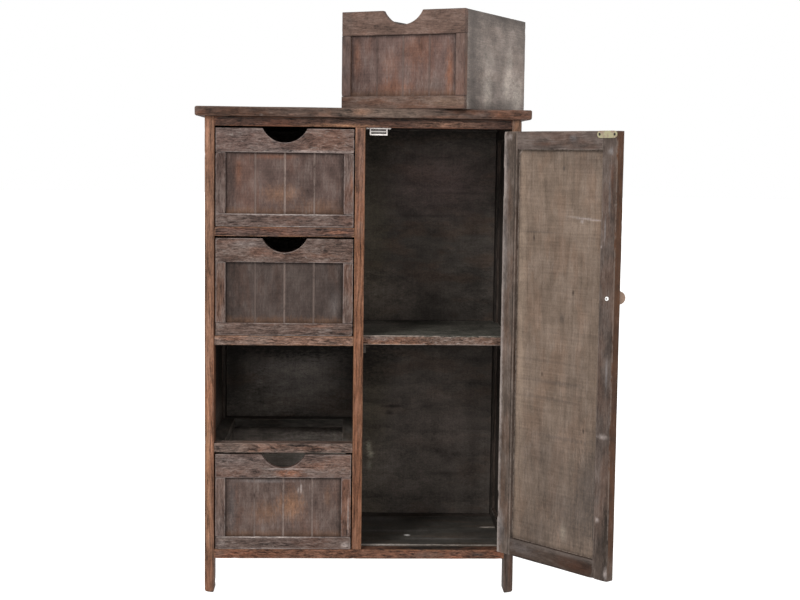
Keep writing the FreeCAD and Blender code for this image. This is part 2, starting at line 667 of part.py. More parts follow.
def drawer_place(number):
    """Where a drawer stands: in its bay, or turned on the top board."""
    if number == LOOSE_DRAWER:
        turn = Rotation(Vector(0, 0, 1), -LOOSE_TURN)
        corner = Vector(LOOSE_RIGHT, Y_FRONT - LOOSE_FORWARD, Z_TOP + DRAWER_LIFT)
        return Placement(corner - turn.multVec(Vector(FRONT_W, 0, 0)), turn)
    low = Vector(X_BAY[0] + DRAWER_GAP_SIDE, Y_FRONT, bay_floor(number) + DRAWER_LIFT)
    return Placement(low, Rotation())


# =============================== assembly ===============================


def export(name, shape):
    solids = [s for piece in (shape if isinstance(shape, list) else [shape]) for s in piece.Solids]
    whole = solids[0] if len(solids) == 1 else Part.makeCompound(solids)
    whole.exportStep("parts/%s.step" % name)


def turned(shape, placement):
    """A copy of a piece, or of each piece in a list, in another place."""
    if isinstance(shape, list):
        return [turned(piece, placement) for piece in shape]
    copy = shape.copy()
    copy.Placement = placement.multiply(copy.Placement)
    return copy


def main():
    os.makedirs("parts", exist_ok=True)
    carcass = make_carcass()
    door = make_door(carcass)
    add_catch(carcass)
    for name, shape in carcass.items():
        export(name, shape)

    pin = Vector(HINGE_X, HINGE_Y, 0)
    swing = Placement(Vector(), Rotation(Vector(0, 0, 1), DOOR_OPEN_AT_REST), pin)
    for name, shape in door.items():
        export(name, turned(shape, swing))

    for number in range(1, BAYS + 1):
        for name, shape in make_drawer().items():
            export("drawer_%d_%s" % (number, name), turned(shape, drawer_place(number)))


main()
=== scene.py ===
import json
import math

import bpy
import numpy as np
from mathutils import Matrix, Vector


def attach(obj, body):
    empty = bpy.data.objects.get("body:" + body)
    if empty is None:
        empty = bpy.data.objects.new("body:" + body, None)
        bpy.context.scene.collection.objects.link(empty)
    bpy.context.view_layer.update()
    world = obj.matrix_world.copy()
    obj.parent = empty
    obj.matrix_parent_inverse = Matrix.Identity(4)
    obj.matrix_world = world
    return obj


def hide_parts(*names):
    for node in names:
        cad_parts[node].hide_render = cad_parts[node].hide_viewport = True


# Bonnetiere cabinet, dressed: every board of the frame, the door and the drawers is drawn again
# with softened, knocked edges, and every piece gets its finish. Metres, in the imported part's frame.

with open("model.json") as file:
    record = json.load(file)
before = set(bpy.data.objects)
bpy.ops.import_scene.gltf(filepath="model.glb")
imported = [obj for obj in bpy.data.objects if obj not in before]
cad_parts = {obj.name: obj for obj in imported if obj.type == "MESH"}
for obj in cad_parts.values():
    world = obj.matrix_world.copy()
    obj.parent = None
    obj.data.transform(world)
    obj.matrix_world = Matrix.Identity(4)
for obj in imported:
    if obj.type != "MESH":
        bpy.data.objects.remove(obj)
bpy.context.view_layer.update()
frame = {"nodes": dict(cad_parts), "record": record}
MM = 0.001
BODIES = frame["record"]["behaviour"]["bodies"]
BODY_OF = {node: body for body, nodes in BODIES.items() for node in nodes}

# ---- sizes that the boards are drawn by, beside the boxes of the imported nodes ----
TURN = {"door": 130.1, "drawer_3": -28.5}  # degrees about the upright, as each stands at rest
TENON = 8 * MM
STUB = 6 * MM  # stub tenons of the door rails
TONGUE = 5 * MM  # of a panel's edge, inside its groove
BOARD_LAP = 4 * MM  # of the bottom board, in the rails' rebates
SIDE_RAIL_H = 35 * MM
RUNNER_W = 25 * MM
CLEAT_W = 12 * MM
REBATE_X = 272 * MM  # edge of the back panel, let into the rear legs
REBATE_Y = 140 * MM
DRAWER_STILE = 18 * MM
DRAWER_BOTTOM_RAIL = 23 * MM
DRAWER_SIDE = 9 * MM
DRAWER_BOTTOM_UP = 8 * MM
DRAWER_BOTTOM_T = 4 * MM
GRIP_R = 43.8 * MM
GRIP_DEPTH = 25 * MM
FOOT_H = 64 * MM  # free height of a leg, below the rails
SOLE_RISE = 2.2 * MM  # of a foot's outer side, worn away over SOLE_REACH
SOLE_REACH = 20 * MM
HINGE_L = 50 * MM
HINGE_INSET = 88.5 * MM  # from an end of the door to the middle of a hinge
LEG_POCKET_X = 264.8 * MM  # floor of the leg's hinge pockets
LEG_POCKET_BACK = -130.5 * MM
DOOR_POCKET_X = -283.8 * MM  # floor of the door's hinge notches, in the door's own straight frame
KNOB_SCREW = (-524.9, -85, 561)  # mm, middle of its head, in the same frame
BOARDS = 4  # boards that the V-grooves mark in a panel
V_HALF = 1.3 * MM
V_DEPTH = 1.3 * MM
HAIR = 0.03 * MM  # from a step in a shape to the row of points on each side of it
APART = 10  # a board's place times this moves its grain, so that two boards of one wood differ


# ---- shapes ----


def turn_of(body):
    """Rotation about the upright that takes a body's own straight frame to how it stands at rest."""
    a = math.radians(TURN.get(body, 0.0))
    return np.array([[math.cos(a), -math.sin(a), 0], [math.sin(a), math.cos(a), 0], [0, 0, 1]])


def seat(node):
    """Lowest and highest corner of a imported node, in its body's own straight frame."""
    mesh = frame["nodes"][node].data
    found = np.empty(len(mesh.vertices) * 3, np.float32)
    mesh.vertices.foreach_get("co", found)
    own = found.reshape(-1, 3).astype(float) @ turn_of(BODY_OF[node])
    return own.min(0), own.max(0)


def rule(low, high, soft, step, extra=()):
    """Places across one direction: close together in the softened edges, even between, and the extra
    ones asked for."""
    near = soft * np.array([0.0, 0.35, 0.7, 1.0, 1.6])
    count = max(2, int((high - low - 3.2 * soft) / step) + 2)
    flat = np.linspace(low + near[-1], high - near[-1], count)
    return np.unique(np.round(np.concatenate([low + near, high - near, flat, extra]), 6))


def shell(rules):
    """Closed box surface: all crossings of three sets of places that lie on an outer face, and the
    squares between neighbouring crossings, wound outwards."""
    count = [len(r) for r in rules]
    outer = np.zeros(count, bool)
    for axis in range(3):
        for end in (0, -1):
            outer[tuple(end if k == axis else slice(None) for k in range(3))] = True
    number = np.full(count, -1)
    number[outer] = np.arange(outer.sum())
    points = np.stack(np.meshgrid(*rules, indexing="ij"), -1)[outer]
    squares = []
    for axis in range(3):
        for end in (0, -1):
            f = np.take(number, end, axis)
            q = np.stack([f[:-1, :-1], f[1:, :-1], f[1:, 1:], f[:-1, 1:]], -1).reshape(-1, 4)
            squares.append(q if (end == -1) != (axis == 1) else q[:, ::-1])
    return points, np.concatenate(squares)


def ripple(points, length, seed, waves=7):
    """Smooth unevenness, about -1 to 1: the sum of plane waves of about one length, each its own way."""
    rng = np.random.default_rng(seed)
    way = rng.normal(size=(waves, 3))
    way *= (2 * math.pi / length / rng.uniform(0.7, 1.4, waves) / np.linalg.norm(way, axis=1))[:, None]
    return np.sin(points @ way.T + rng.uniform(0, 2 * math.pi, waves)).sum(1) / math.sqrt(waves)


def soften(points, low, high, soft):
    """Rounded box: each point is put at the distance soft from the nearest point of the box shrunk by
    soft."""
    core = np.clip(points, low + soft, high - soft)
    way = points - core
    way /= np.linalg.norm(way, axis=1, keepdims=True)
    return core + way * soft, way


def add_mesh(name, points, faces, body, finish, values):
    """A piece at the origin with its place in its mesh, smooth, with its values kept at its points."""
    mesh = bpy.data.meshes.new(name)
    mesh.from_pydata(np.round(points, 7), [], faces)
    for key, data in values.items():
        kind = "FLOAT_VECTOR" if data.ndim == 2 else "FLOAT"
        kept = mesh.attributes.new(key, kind, "POINT")
        kept.data.foreach_set("vector" if data.ndim == 2 else "value", data.astype(np.float32).ravel())
    mesh.polygons.foreach_set("use_smooth", np.ones(len(mesh.polygons), bool))
    mesh.materials.append(finish)
    piece = bpy.data.objects.new(name, mesh)
    bpy.context.scene.collection.objects.link(piece)
    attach(piece, body)
    return piece


made = {"count": 0}


def board(name, node, span, along, finish, slot="frame_wood", soft=0.9 * MM, step=6 * MM, wear=0.7 * MM,
          knocks=6, extra=((), (), ()), shape=None, lines=None, shift=0.0):
    """A board with softened, knocked edges. A box surface is softened at its edges, pressed in along them
    by a ripple and by a few round knocks, bent by shape where it has one, and turned to where its body
    stands. It
    keeps for its finish: grain (place along, across and through the board from its middle, moved along by
    shift), worn (how far an edge has gone to rubbing, where the finish lays pale rubbing and a
    painted highlight), rim (distance to the nearest edge, in metres) and line (distance to the nearest
    groove between boards, a metre more on the plain face)."""
    made["count"] += 1
    seed = made["count"]
    low, high = (np.array(v, float) for v in span)
    rules = [rule(low[k], high[k], soft, step, extra[k]) for k in range(3)]
    points, faces = shell(rules)
    points, way = soften(points, low, high, soft)
    edge = np.clip((1 - np.abs(way).max(1)) / 0.28, 0, 1)
    rub = np.clip(0.45 + 0.5 * ripple(points, 55 * MM, seed), 0, 1.2)
    press = wear * rub * edge
    rng = np.random.default_rng(1000 + seed)
    knocked = np.zeros(len(points))
    for at in rng.choice(np.flatnonzero(edge > 0.6), knocks):
        size = rng.uniform(1.5, 4.0) * MM
        dent = np.exp(-((points - points[at]) ** 2).sum(1) / size**2)
        knocked += dent
        press += dent * rng.uniform(0.3, 1.0) * MM * min(1.0, wear / (0.7 * MM))
    points = points - way * press[:, None]
    points -= way * (0.12 * MM * (1 + ripple(points, 90 * MM, seed + 500)))[:, None] * (1 - edge[:, None])
    rim = np.full(len(points), 1.0)
    for k in range(3):
        if high[k] - low[k] > 14 * MM:
            rim = np.minimum(rim, np.minimum(points[:, k] - low[k], high[k] - points[:, k])
                             + np.where(np.abs(way[:, k]) > 0.9, 1.0, 0.0))
    if shape is not None:
        points = shape(points, low, high)
    order = {"x": (0, 2, 1), "y": (1, 2, 0), "z": (2, 0, 1)}[along]
    if along == "y" and high[0] - low[0] > high[2] - low[2]:
        order = (1, 0, 2)
    values = {
        "grain": (points - (low + high) / 2)[:, order] + (shift, 0, 0),
        "worn": np.clip(edge * (0.3 + 0.7 * rub) + knocked, 0, 1.5),
        "rim": np.clip(rim, 0, 1),
    }
    if lines is not None:
        values["line"] = np.abs(points[:, :1] - np.array(lines)[None, :]).min(1)
        values["line"] += np.where(points[:, 1] > (low[1] + high[1]) / 2, 1.0, 0.0)
    body = BODY_OF[node]
    piece = add_mesh(name, points @ turn_of(body).T, faces, body, finish, values)
    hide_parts(node)
    return piece


def cut(span, **by):
    """A span made shorter: x=a takes a off both of its ends."""
    low, high = np.array(span[0]), np.array(span[1])
    for axis, length in by.items():
        k = "xyz".index(axis)
        low[k] += length
        high[k] -= length
    return low, high


def part_of(span, **of):
    """A span limited on some axes: x=(from the low end, to the low end), negative from the high end."""
    low, high = np.array(span[0]), np.array(span[1])
    for axis, (a, b) in of.items():
        k = "xyz".index(axis)
        base = np.array([low[k], high[k]])
        low[k] = base[0] + a if a >= 0 else base[1] + a
        high[k] = base[0] + b if b > 0 else base[1] + b
    return low, high


def foot(inner):
    """The foot of a leg: its section shrinks a little towards the floor as the square of the depth, and
    its sole rises in a line towards the outer side."""

    def bend(points, low, high):
        height = points[:, 2] - low[2]
        middle = (low + high) / 2
        for k, sign, wide, tall in ((0, inner, 2 * MM, 5 * MM), (0, -inner, 2.5 * MM, 4 * MM),
                                    (1, 1, 2 * MM, 4 * MM), (1, -1, 2 * MM, 4 * MM)):
            sunk = np.clip(1 - height / tall, 0, 1)
            half = (high[k] - low[k]) / 2
            side = (points[:, k] - middle[k]) * sign > 0
            points[:, k] += np.where(side, (middle[k] - points[:, k]) * wide * sunk**2 / half, 0)
        outer = np.clip(0.5 - inner * (points[:, 0] - middle[0]) / (high[0] - low[0]), 0, 1)
        points[:, 2] += SOLE_RISE * outer * np.clip(1 - height / SOLE_REACH, 0, 1)
        return points

    return bend


def leaf_pocket(side, floor_x, back_y, levels):
    """Shallow pockets for hinge leaves: between each pair of levels the face on the given side goes back
    to floor_x, as far in as back_y."""

    def bend(points, low, high):
        for bottom, top in levels:
            here = (points[:, 2] > bottom) & (points[:, 2] < top) & (points[:, 1] < back_y)
            past = (points[:, 0] - floor_x) * side > 0
            points[:, 0] = np.where(here & past, floor_x, points[:, 0])
        return points

    return bend


def hinge_leg(inner, pocket):
    """The leg that carries the door: its foot, and pockets for the hinge leaves in its inner face."""
    round_foot = foot(inner)

    def bend(points, low, high):
        return pocket(round_foot(points, low, high), low, high)

    return bend


def rear_leg(inner):
    """A rear leg: its foot, and behind it a flat rebate that takes the edge of the back panel."""
    round_foot = foot(inner)

    def bend(points, low, high):
        points = round_foot(points, low, high)
        let_in = (np.abs(points[:, 0]) < REBATE_X) & (points[:, 2] > FOOT_H)
        points[:, 1] = np.where(let_in, np.minimum(points[:, 1], REBATE_Y), points[:, 1])
        return points

    return bend


def scoop(points, low, high):
    """A grip rail: above its lower part, the top comes down by the depth of a circle's arc about its
    middle."""
    x = points[:, 0] - (low[0] + high[0]) / 2
    arc = np.sqrt(np.clip(GRIP_R**2 - x**2, 0, None)) - (GRIP_R - GRIP_DEPTH)
    down = np.where(np.abs(x) < GRIP_R, np.clip(arc, 0, None), 0)
    base = low[2] + 4 * MM
    share = np.clip((points[:, 2] - base) / (high[2] - 2 * MM - base), 0, 1)
    points[:, 2] -= down * share
    return points


def v_grooves(left, right):
    """A boarded panel: its low-y face goes in as a V at each line between boards."""
    lines = np.linspace(left, right, BOARDS + 1)[1:-1]

    def bend(points, low, high):
        front = points[:, 1] < (low[1] + high[1]) / 2
        away = np.abs(points[:, :1] - lines[None, :]).min(1)
        points[:, 1] += np.where(front, V_DEPTH * np.clip(1 - away / V_HALF, 0, 1), 0)
        return points

    places = np.concatenate([lines + k * V_HALF for k in (-2.3, -1.3, -1, -0.5, 0, 0.5, 1, 1.3, 2.3)])
    return bend, places, lines


def grooved_panel(name, node, finish, slot, step):
    """A boarded panel that floats in the grooves of its frame."""
    span = cut(seat(node), x=TONGUE, z=TONGUE)
    bend, places, lines = v_grooves(span[0][0] + 0.5 * MM, span[1][0] - 0.5 * MM)
    board(name, node, span, "z", finish, slot, soft=0.4 * MM, step=step, wear=0.0, knocks=0,
          extra=(places, (), ()), shape=bend, lines=lines)


def both_sides(*places):
    """A hair before and after each place where a shape has a step."""
    return [place + k * HAIR for place in places for k in (-1, 1)]


def pair(width):
    """The left and right strip of a span, each of a width, as part_of takes them."""
    return ("left", (0, width)), ("right", (-width, 0))


# ---- finishes ----


class Finish:
    """A material put together node by node; a feed is a number, a colour or another node's output."""

    def __init__(self, name):
        self.material = bpy.data.materials.new(name)
        self.material.use_nodes = True
        self.tree = self.material.node_tree
        self.tree.nodes.clear()

    def feed(self, socket, value):
        if isinstance(value, bpy.types.NodeSocket):
            self.tree.links.new(value, socket)
        else:
            socket.default_value = (*value, 1.0) if socket.type == "RGBA" and len(value) == 3 else value

    def node(self, kind, feeds, **settings):
        made_node = self.tree.nodes.new("ShaderNode" + kind)
        for key, value in settings.items():
            setattr(made_node, key, value)
        for socket, value in feeds.items():
            self.feed(made_node.inputs[socket], value)
        return made_node

    def kept(self, name):
        """A value kept at the piece's points."""
        found = self.node("Attribute", {}, attribute_name=name)
        return found.outputs["Vector" if name == "grain" else "Fac"]

    def place(self):
        return self.node("TexCoord", {}).outputs["Object"]

    def stretch(self, vector, scale, at=(0, 0, 0), turn=(0, 0, 0)):
        feeds = {"Vector": vector, "Scale": scale, "Location": at, "Rotation": turn}
        return self.node("Mapping", feeds).outputs[0]

    def noise(self, vector, scale=1.0, detail=3.0, rough=0.55, distort=0.0):
        feeds = {"Vector": vector, "Scale": scale, "Detail": detail, "Roughness": rough,
                 "Distortion": distort}
        return self.node("TexNoise", feeds).outputs[0]

    def sum(self, base, *terms):
        """base plus each value times its weight."""
        for value, weight in terms:
            base = self.node("Math", {0: value, 1: weight, 2: base}, operation="MULTIPLY_ADD").outputs[0]
        return base

    def maths(self, operation, a, b):
        return self.node("Math", {0: a, 1: b}, operation=operation).outputs[0]

    def times(self, a, b):
        return self.maths("MULTIPLY", a, b)

    def far(self, vector):
        """How far a vector reaches from its origin."""
        return self.node("VectorMath", {0: vector}, operation="LENGTH").outputs["Value"]

    def mask(self, value, low, high):
        """0 where value is at low, 1 where it is at high, smooth between."""
        feeds = {"Value": value, "From Min": low, "From Max": high}
        return self.node("MapRange", feeds, interpolation_type="SMOOTHSTEP").outputs[0]

    def blend(self, share, under, over, how="MIX"):
        made_node = self.tree.nodes.new("ShaderNodeMix")
        made_node.data_type = "RGBA"
        made_node.blend_type = how
        for index, value in ((0, share), (6, under), (7, over)):
            self.feed(made_node.inputs[index], value)
        return made_node.outputs[2]

    def close(self, colour, roughness, height=None, bump=0.4, depth=0.4 * MM, **shader):
        feeds = {"Base Color": colour, "Roughness": roughness}
        feeds.update({key.replace("_", " "): value for key, value in shader.items()})
        if height is not None:
            raised = self.node("Bump", {"Height": height, "Strength": bump, "Distance": depth})
            feeds["Normal"] = raised.outputs[0]
        surface = self.node("BsdfPrincipled", feeds)
        out = self.node("OutputMaterial", {})
        self.tree.links.new(surface.outputs[0], out.inputs[0])
        return self.material


def shade(tone, by):
    """A tone made darker or lighter."""
    return tuple(np.clip(np.array(tone) * by, 0, 1))


def timber(name, tone, seed, length=32, fibre=1.0, cloud=0.8, warm=0.35, wash=0.4, fleck=0.25, rings=0.3,
           ring_size=3.2, curl=3.0, cross=0.0, busy=0.3, worn=0.5, rubbed=None, rim=0.0, lines=0.0,
           marks=()):
    """Stained, brushed and washed wood. Fibres are noise drawn out along the grain (length mm), bent
    sideways by slow noise (curl mm). Growth rings are distances from a tilted line beside the board.
    Clouds, warm and washed patches are slower noise; flecks are pale wash left in pores; cross adds
    faint lines across the grain and busy a fine speckle. Edges turn to the tone rubbed by
    worn: pale rubbing, and a painted highlight along each edge. Borders are darker by rim:
    painted shade of a panel's recess, over darker stain. Grooves keep pale wash by lines, least in the
    first of them. A mark is (place along, across, through; size along, across, through; tone, share) in
    mm, where a size of 0 has no end. Later marks lie over earlier ones."""
    f = Finish(name)
    rng = np.random.default_rng(seed)
    grain = f.kept("grain")
    at = [tuple(rng.uniform(-40, 40, 3)) for _ in range(8)]
    slow = f.noise(f.stretch(grain, (6, 11, 11), at[0]))
    cloudy = f.noise(f.stretch(grain, (24, 40, 40), at[1]), detail=6, rough=0.64)
    wide_wave = f.noise(f.stretch(grain, (13, 30, 30), at[2]), detail=2)
    small_wave = f.noise(f.stretch(grain, (55, 110, 110), at[3]), detail=2)
    sideways = f.sum(-1.35 * curl * MM, (wide_wave, 2.0 * curl * MM), (small_wave, 0.7 * curl * MM))
    sway = f.node("CombineXYZ", {"Y": sideways, "Z": f.times(sideways, 0.7)})
    bent = f.node("VectorMath", {0: grain, 1: sway.outputs[0]}, operation="ADD").outputs[0]
    long = f.noise(f.stretch(bent, (1000 / length, 400, 400), at[4]), detail=5, rough=0.66)
    band = f.noise(f.stretch(bent, (260 / length, 105, 105), at[5]))
    fine = f.noise(f.stretch(bent, (2600 / length, 1300, 1300), at[4]), rough=0.6)
    pores = f.mask(fine, 0.53, 0.64)
    speckle = f.noise(f.stretch(bent, (260, 420, 420), at[5]), rough=0.7)
    level = f.sum(1.03 - 1.35 * fibre - 1.4 * cloud - 0.2 - 0.5 * cross - 0.9 * busy,
                  (long, 2.1 * fibre), (band, 0.6 * fibre), (cloudy, 1.8 * cloud), (slow, 1.0 * cloud),
                  (fine, 0.4), (speckle, 1.8 * busy))
    if rings:
        aside = (0, rng.uniform(-0.5, 0.5) * 0.05, rng.uniform(0.03, 0.06))
        tilt = (0, math.radians(rng.uniform(1.5, 4.0)) * rng.choice([-1, 1]),
                math.radians(rng.uniform(-1.5, 1.5)))
        ringed = f.node(
            "TexWave",
            {"Vector": f.stretch(bent, (1, 1, 1), aside, tilt), "Scale": 314.0 / ring_size,
             "Distortion": 1.6, "Detail": 2.0, "Detail Scale": 0.6},
            wave_type="RINGS", rings_direction="X", wave_profile="SAW",
        ).outputs[1]
        late = f.mask(ringed, 0.5, 1.0)
        level = f.sum(level, (late, -rings))
        level = f.sum(level, (rings, 0.36))
    if cross:
        level = f.sum(level, (f.noise(f.stretch(grain, (330, 16, 16), at[6])), cross))
    # rim: painted shade of a panel's recess along its borders, over darker stain
    if rim:
        near = f.mask(f.sum(0.0, (f.kept("rim"), 1.0), (cloudy, 6 * MM)), 11 * MM, 4 * MM)
        level = f.times(level, f.sum(1.0, (near, -rim)))

    grey = float(np.dot(tone, (0.25, 0.6, 0.15)))
    warm_tone = tuple(np.clip(np.array(tone) * (1.55, 0.98, 0.66), 0, 1))
    wash_tone = tuple(grey * np.array((1.77, 1.49, 1.34)))
    fleck_tone = tuple(grey * np.array((3.6, 3.02, 2.7)))
    rubbed = rubbed or tuple(grey * np.array((3.0, 2.45, 2.1)))
    patches = f.noise(f.stretch(grain, (9, 26, 26), at[7]), detail=4, rough=0.6)
    colour = f.blend(f.times(f.mask(patches, 0.47, 0.62), warm), tone, warm_tone)
    streak = f.mask(f.sum(0.0, (long, 0.5), (cloudy, 0.5)), 0.47, 0.6)
    colour = f.blend(f.times(streak, wash), colour, wash_tone)
    ragged = f.noise(f.stretch(grain, (110, 230, 230), at[1]), detail=4, rough=0.65)
    for *where, mark_tone, share in marks:
        centre, size = np.array(where[:3]) * MM, np.array(where[3:]) * MM
        scale = np.where(size > 0, 1 / np.maximum(size, 1e-9), 0.0)
        away = f.far(f.stretch(grain, tuple(scale), tuple(-centre * scale)))
        here = f.mask(f.sum(away, (ragged, 1.2), (long, 0.6)), 1.9, 0.85)
        colour = f.blend(f.times(here, share), colour, mark_tone)
    colour = f.blend(1.0, colour, f.maths("MAXIMUM", level, 0.14), "MULTIPLY")
    colour = f.blend(f.times(pores, 0.2 + 0.3 * busy), colour, shade(tone, 0.3))
    if fleck:
        left_over = f.noise(f.stretch(bent, (1500 / length, 430, 430), at[6]), rough=0.7)
        flecks = f.times(f.mask(left_over, 0.54, 0.66), f.mask(cloudy, 0.4, 0.6))
        colour = f.blend(f.sum(0.0, (flecks, fleck)), colour, fleck_tone)
    # pale edges: rubbing of the stain, with a painted highlight along every edge
    rub_and_highlight_edge = f.maths("MAXIMUM", f.mask(f.kept("worn"), 0.3, 0.9), f.mask(f.kept("rim"), 2.4 * MM, 0.6 * MM))
    rub_and_highlight_mask = f.times(rub_and_highlight_edge, f.mask(f.sum(0.0, (ragged, 0.5), (patches, 0.5)), 0.42, 0.56))
    colour = f.blend(f.times(rub_and_highlight_mask, worn), colour, rubbed)
    if lines:
        beside = f.times(f.mask(f.kept("line"), 3.2 * MM, 1.4 * MM), 0.35)
        colour = f.blend(beside, colour, shade(tone, 0.3))
        chalk = f.times(f.mask(f.kept("line"), 2.2 * MM, 1.0 * MM),
                        f.mask(f.sum(0.0, (ragged, 0.35), (cloudy, 0.3), (slow, 0.35)), 0.36, 0.52))
        across = f.node("SeparateXYZ", {0: grain}).outputs["Y"]
        full = f.sum(0.55, (f.mask(across, -40 * MM, -12 * MM), 0.5),
                     (f.mask(across, 12 * MM, 40 * MM), -0.25))
        colour = f.blend(f.sum(0.0, (f.times(chalk, full), lines)), colour, t(0.29, 0.215, 0.182))
    height = f.sum(0.0, (long, 0.7), (fine, 0.4), (pores, -0.35))
    roughness = f.sum(0.5, (long, 0.22), (streak, 0.12))
    return f.close(colour, roughness, height, bump=0.6, depth=0.5 * MM, Specular_IOR_Level=0.1)


def metal(name, tone, dull, roughness, scale=220.0, metallic=1.0):
    """Hardware metal: bright ground with cloudy tarnish and fine rubbing marks."""
    f = Finish(name)
    place = f.place()
    cloud = f.noise(f.stretch(place, (scale, scale, scale)), detail=4)
    rub = f.noise(f.stretch(place, (scale * 8, scale * 8, scale)))
    colour = f.blend(f.mask(cloud, 0.42, 0.66), tone, dull)
    height = f.sum(0.0, (cloud, 0.5), (rub, 0.5))
    rough = f.sum(roughness - 0.12, (cloud, 0.24), (rub, 0.08))
    return f.close(colour, rough, height, bump=0.2, depth=0.1 * MM, Metallic=metallic)


def plastic(name, tone, dirt):
    """Moulded plastic: even ground with faint grime in slow clouds, and a fine mould texture."""
    f = Finish(name)
    place = f.place()
    cloud = f.noise(f.stretch(place, (130, 130, 130)), detail=4)
    fine = f.noise(f.stretch(place, (2400, 2400, 2400)), detail=2)
    colour = f.blend(f.times(f.mask(cloud, 0.45, 0.7), 0.5), tone, dirt)
    return f.close(colour, f.sum(0.36, (cloud, 0.15)), fine, bump=0.15, depth=0.08 * MM)


def turned_wood(name, tone, axis):
    """Wood of a turned knob: grain runs along its axis, with slow darker clouds."""
    f = Finish(name)
    place = f.stretch(f.place(), (1, 1, 1), turn=(0, 0, -math.radians(axis)))
    long = f.noise(f.stretch(place, (420, 60, 420)), detail=4)
    slow = f.noise(f.stretch(place, (90, 60, 90)))
    colour = f.blend(f.mask(slow, 0.4, 0.65), tone, shade(tone, 0.82))
    colour = f.blend(1.0, colour, f.sum(0.7, (long, 0.6)), "MULTIPLY")
    return f.close(colour, f.sum(0.5, (long, 0.2)), long, bump=0.4, depth=0.3 * MM, Specular_IOR_Level=0.4)


def ringed_steel(name, centre, turned):
    """Screw head: bright rim and a dark middle, painted shade of its recess, told apart by the distance
    from the screw's axis.
    """
    f = Finish(name)
    own = f.stretch(f.place(), (1, 1, 1), turn=(0, 0, -math.radians(turned)))
    flat = f.stretch(own, (1000, 0, 1000), (-centre[0], 0, -centre[2]))
    away = f.far(flat)
    cloud = f.noise(f.stretch(own, (900, 900, 900)))
    colour = f.blend(f.mask(away, 1.3, 2.0), (0.05, 0.045, 0.04), (0.85, 0.84, 0.82))
    colour = f.blend(1.0, colour, f.sum(0.6, (cloud, 0.7)), "MULTIPLY")
    return f.close(colour, f.sum(0.3, (cloud, 0.2)), cloud, bump=0.2, depth=0.1 * MM, Metallic=0.3)


def banded_magnet(name, height):
    """Magnet between two plates: dark, with a pale band by the distance from the middle height."""
    f = Finish(name)
    level = f.stretch(f.place(), (0, 0, 1000), (0, 0, -1000 * height))
    away = f.far(level)
    cloud = f.noise(f.stretch(f.place(), (400, 400, 400)))
    band = f.mask(f.sum(away, (cloud, 0.6)), 1.7, 1.1)
    colour = f.blend(band, (0.06, 0.05, 0.045), (0.6, 0.56, 0.54))
    return f.close(colour, f.sum(0.5, (cloud, 0.2)), cloud, bump=0.2, depth=0.1 * MM)


EXPOSE = 0.56  # how light the tones stand in this light


def t(*tone):
    """A tone as it looks in full light, taken down to the wood's own colour."""
    return shade(np.array(tone) * (1.01, 1.02, 1.04), EXPOSE)


CHALK = t(0.38, 0.315, 0.285)  # dried white wash
RUST = t(0.24, 0.098, 0.052)  # stain worn to the red wood; darkened, it also paints shade along the front left leg's edges
TAN = t(0.34, 0.17, 0.09)  # stain worn to the pale wood
GRIME_AND_SHADE = t(0.03, 0.024, 0.02)  # grime and dark lines, and painted shade in corners, under rails and the shelf, in recesses and where a foot meets the floor
STAIN_AND_SHADE = t(0.085, 0.066, 0.055)  # darker stain, and painted shade at the inner side of a foot and under the door's top rail
KNOT = t(0.04, 0.026, 0.02)
HAZE = t(0.2, 0.175, 0.165)  # thin dried wash
DUSK = t(0.14, 0.115, 0.1)
PALE = t(0.55, 0.47, 0.4)
STAIN = t(0.107, 0.067, 0.054)  # of the frames of the drawer fronts, and of the door's outer face
PANEL_STAIN = t(0.1, 0.063, 0.052)

# where a board's faces lie, in mm through it from its middle
BACK_FACE = -2  # of the back panel, towards the front
INSIDE = 8.5  # of the door's frame, towards the cabinet
PANEL_INSIDE = 3  # of the door's panel
FRONT_FACE = -6  # of a drawer front's frame
PANEL_FACE = -2.5  # of its panel


def marks_at(face, *marks, depth=3):
    """Marks on one face, each given without its place and size through the board."""
    return tuple((along, across, face, *size, depth, tone, share)
                 for along, across, *size, tone, share in marks)


def right_through(*marks):
    return marks_at(0, *marks, depth=0)


def all_over(tone, share):
    return (0, 0, 0, 0, 0, 0, tone, share)


# ---- carcass ----

REAR_LEG = t(0.07, 0.052, 0.041), 0.25, t(0.08, 0.062, 0.05)
LEG_TONES = {  # tone, how far washed, tone of the edges' rubbing and painted highlight, marks
    "front_left": (t(0.205, 0.1, 0.058), 0.12, TAN, right_through(
        # painted shade: the first two marks darken the leg's inner and outer edge, (-400, 7.5) the inner
        # side of the foot, and (-431, 5) is a painted contact shadow along the sole
        (0, 7.5, 0, 4, shade(RUST, 0.4), 0.8), (0, -8.5, 0, 2.6, shade(RUST, 0.3), 0.9),
        (-400, 7.5, 110, 6, STAIN_AND_SHADE, 0.8), (-180, -3, 180, 5, TAN, 0.7), (-310, -2, 90, 8, TAN, 0.4),
        (-405, 2, 100, 26, t(0.15, 0.07, 0.04), 0.7), (300, 0, 260, 40, t(0.155, 0.085, 0.054), 0.7),
        (330, 3, 90, 6, shade(RUST, 0.6), 0.4), (-431, 5, 7, 18, GRIME_AND_SHADE, 1.3))),
    "front_right": (t(0.078, 0.05, 0.038), 0.35, t(0.2, 0.16, 0.14), right_through(
        # (-431, -4) is a painted contact shadow along the sole
        (180, 0, 160, 20, shade(RUST, 0.6), 0.4), (420, 0, 50, 20, TAN, 0.45), (-431, -4, 7, 18, GRIME_AND_SHADE, 1.3),
        (-400, -2, 60, 3, GRIME_AND_SHADE, 0.8))),
    "rear_left": (*REAR_LEG, right_through(
        (0, 12, 0, 14, GRIME_AND_SHADE, 1.2), (0, -18, 0, 24, t(0.18, 0.095, 0.06), 1.0))),
    "rear_right": (*REAR_LEG, right_through(
        (0, -12, 0, 14, GRIME_AND_SHADE, 1.2), (0, 18, 0, 24, t(0.11, 0.068, 0.048), 1.0))),
}
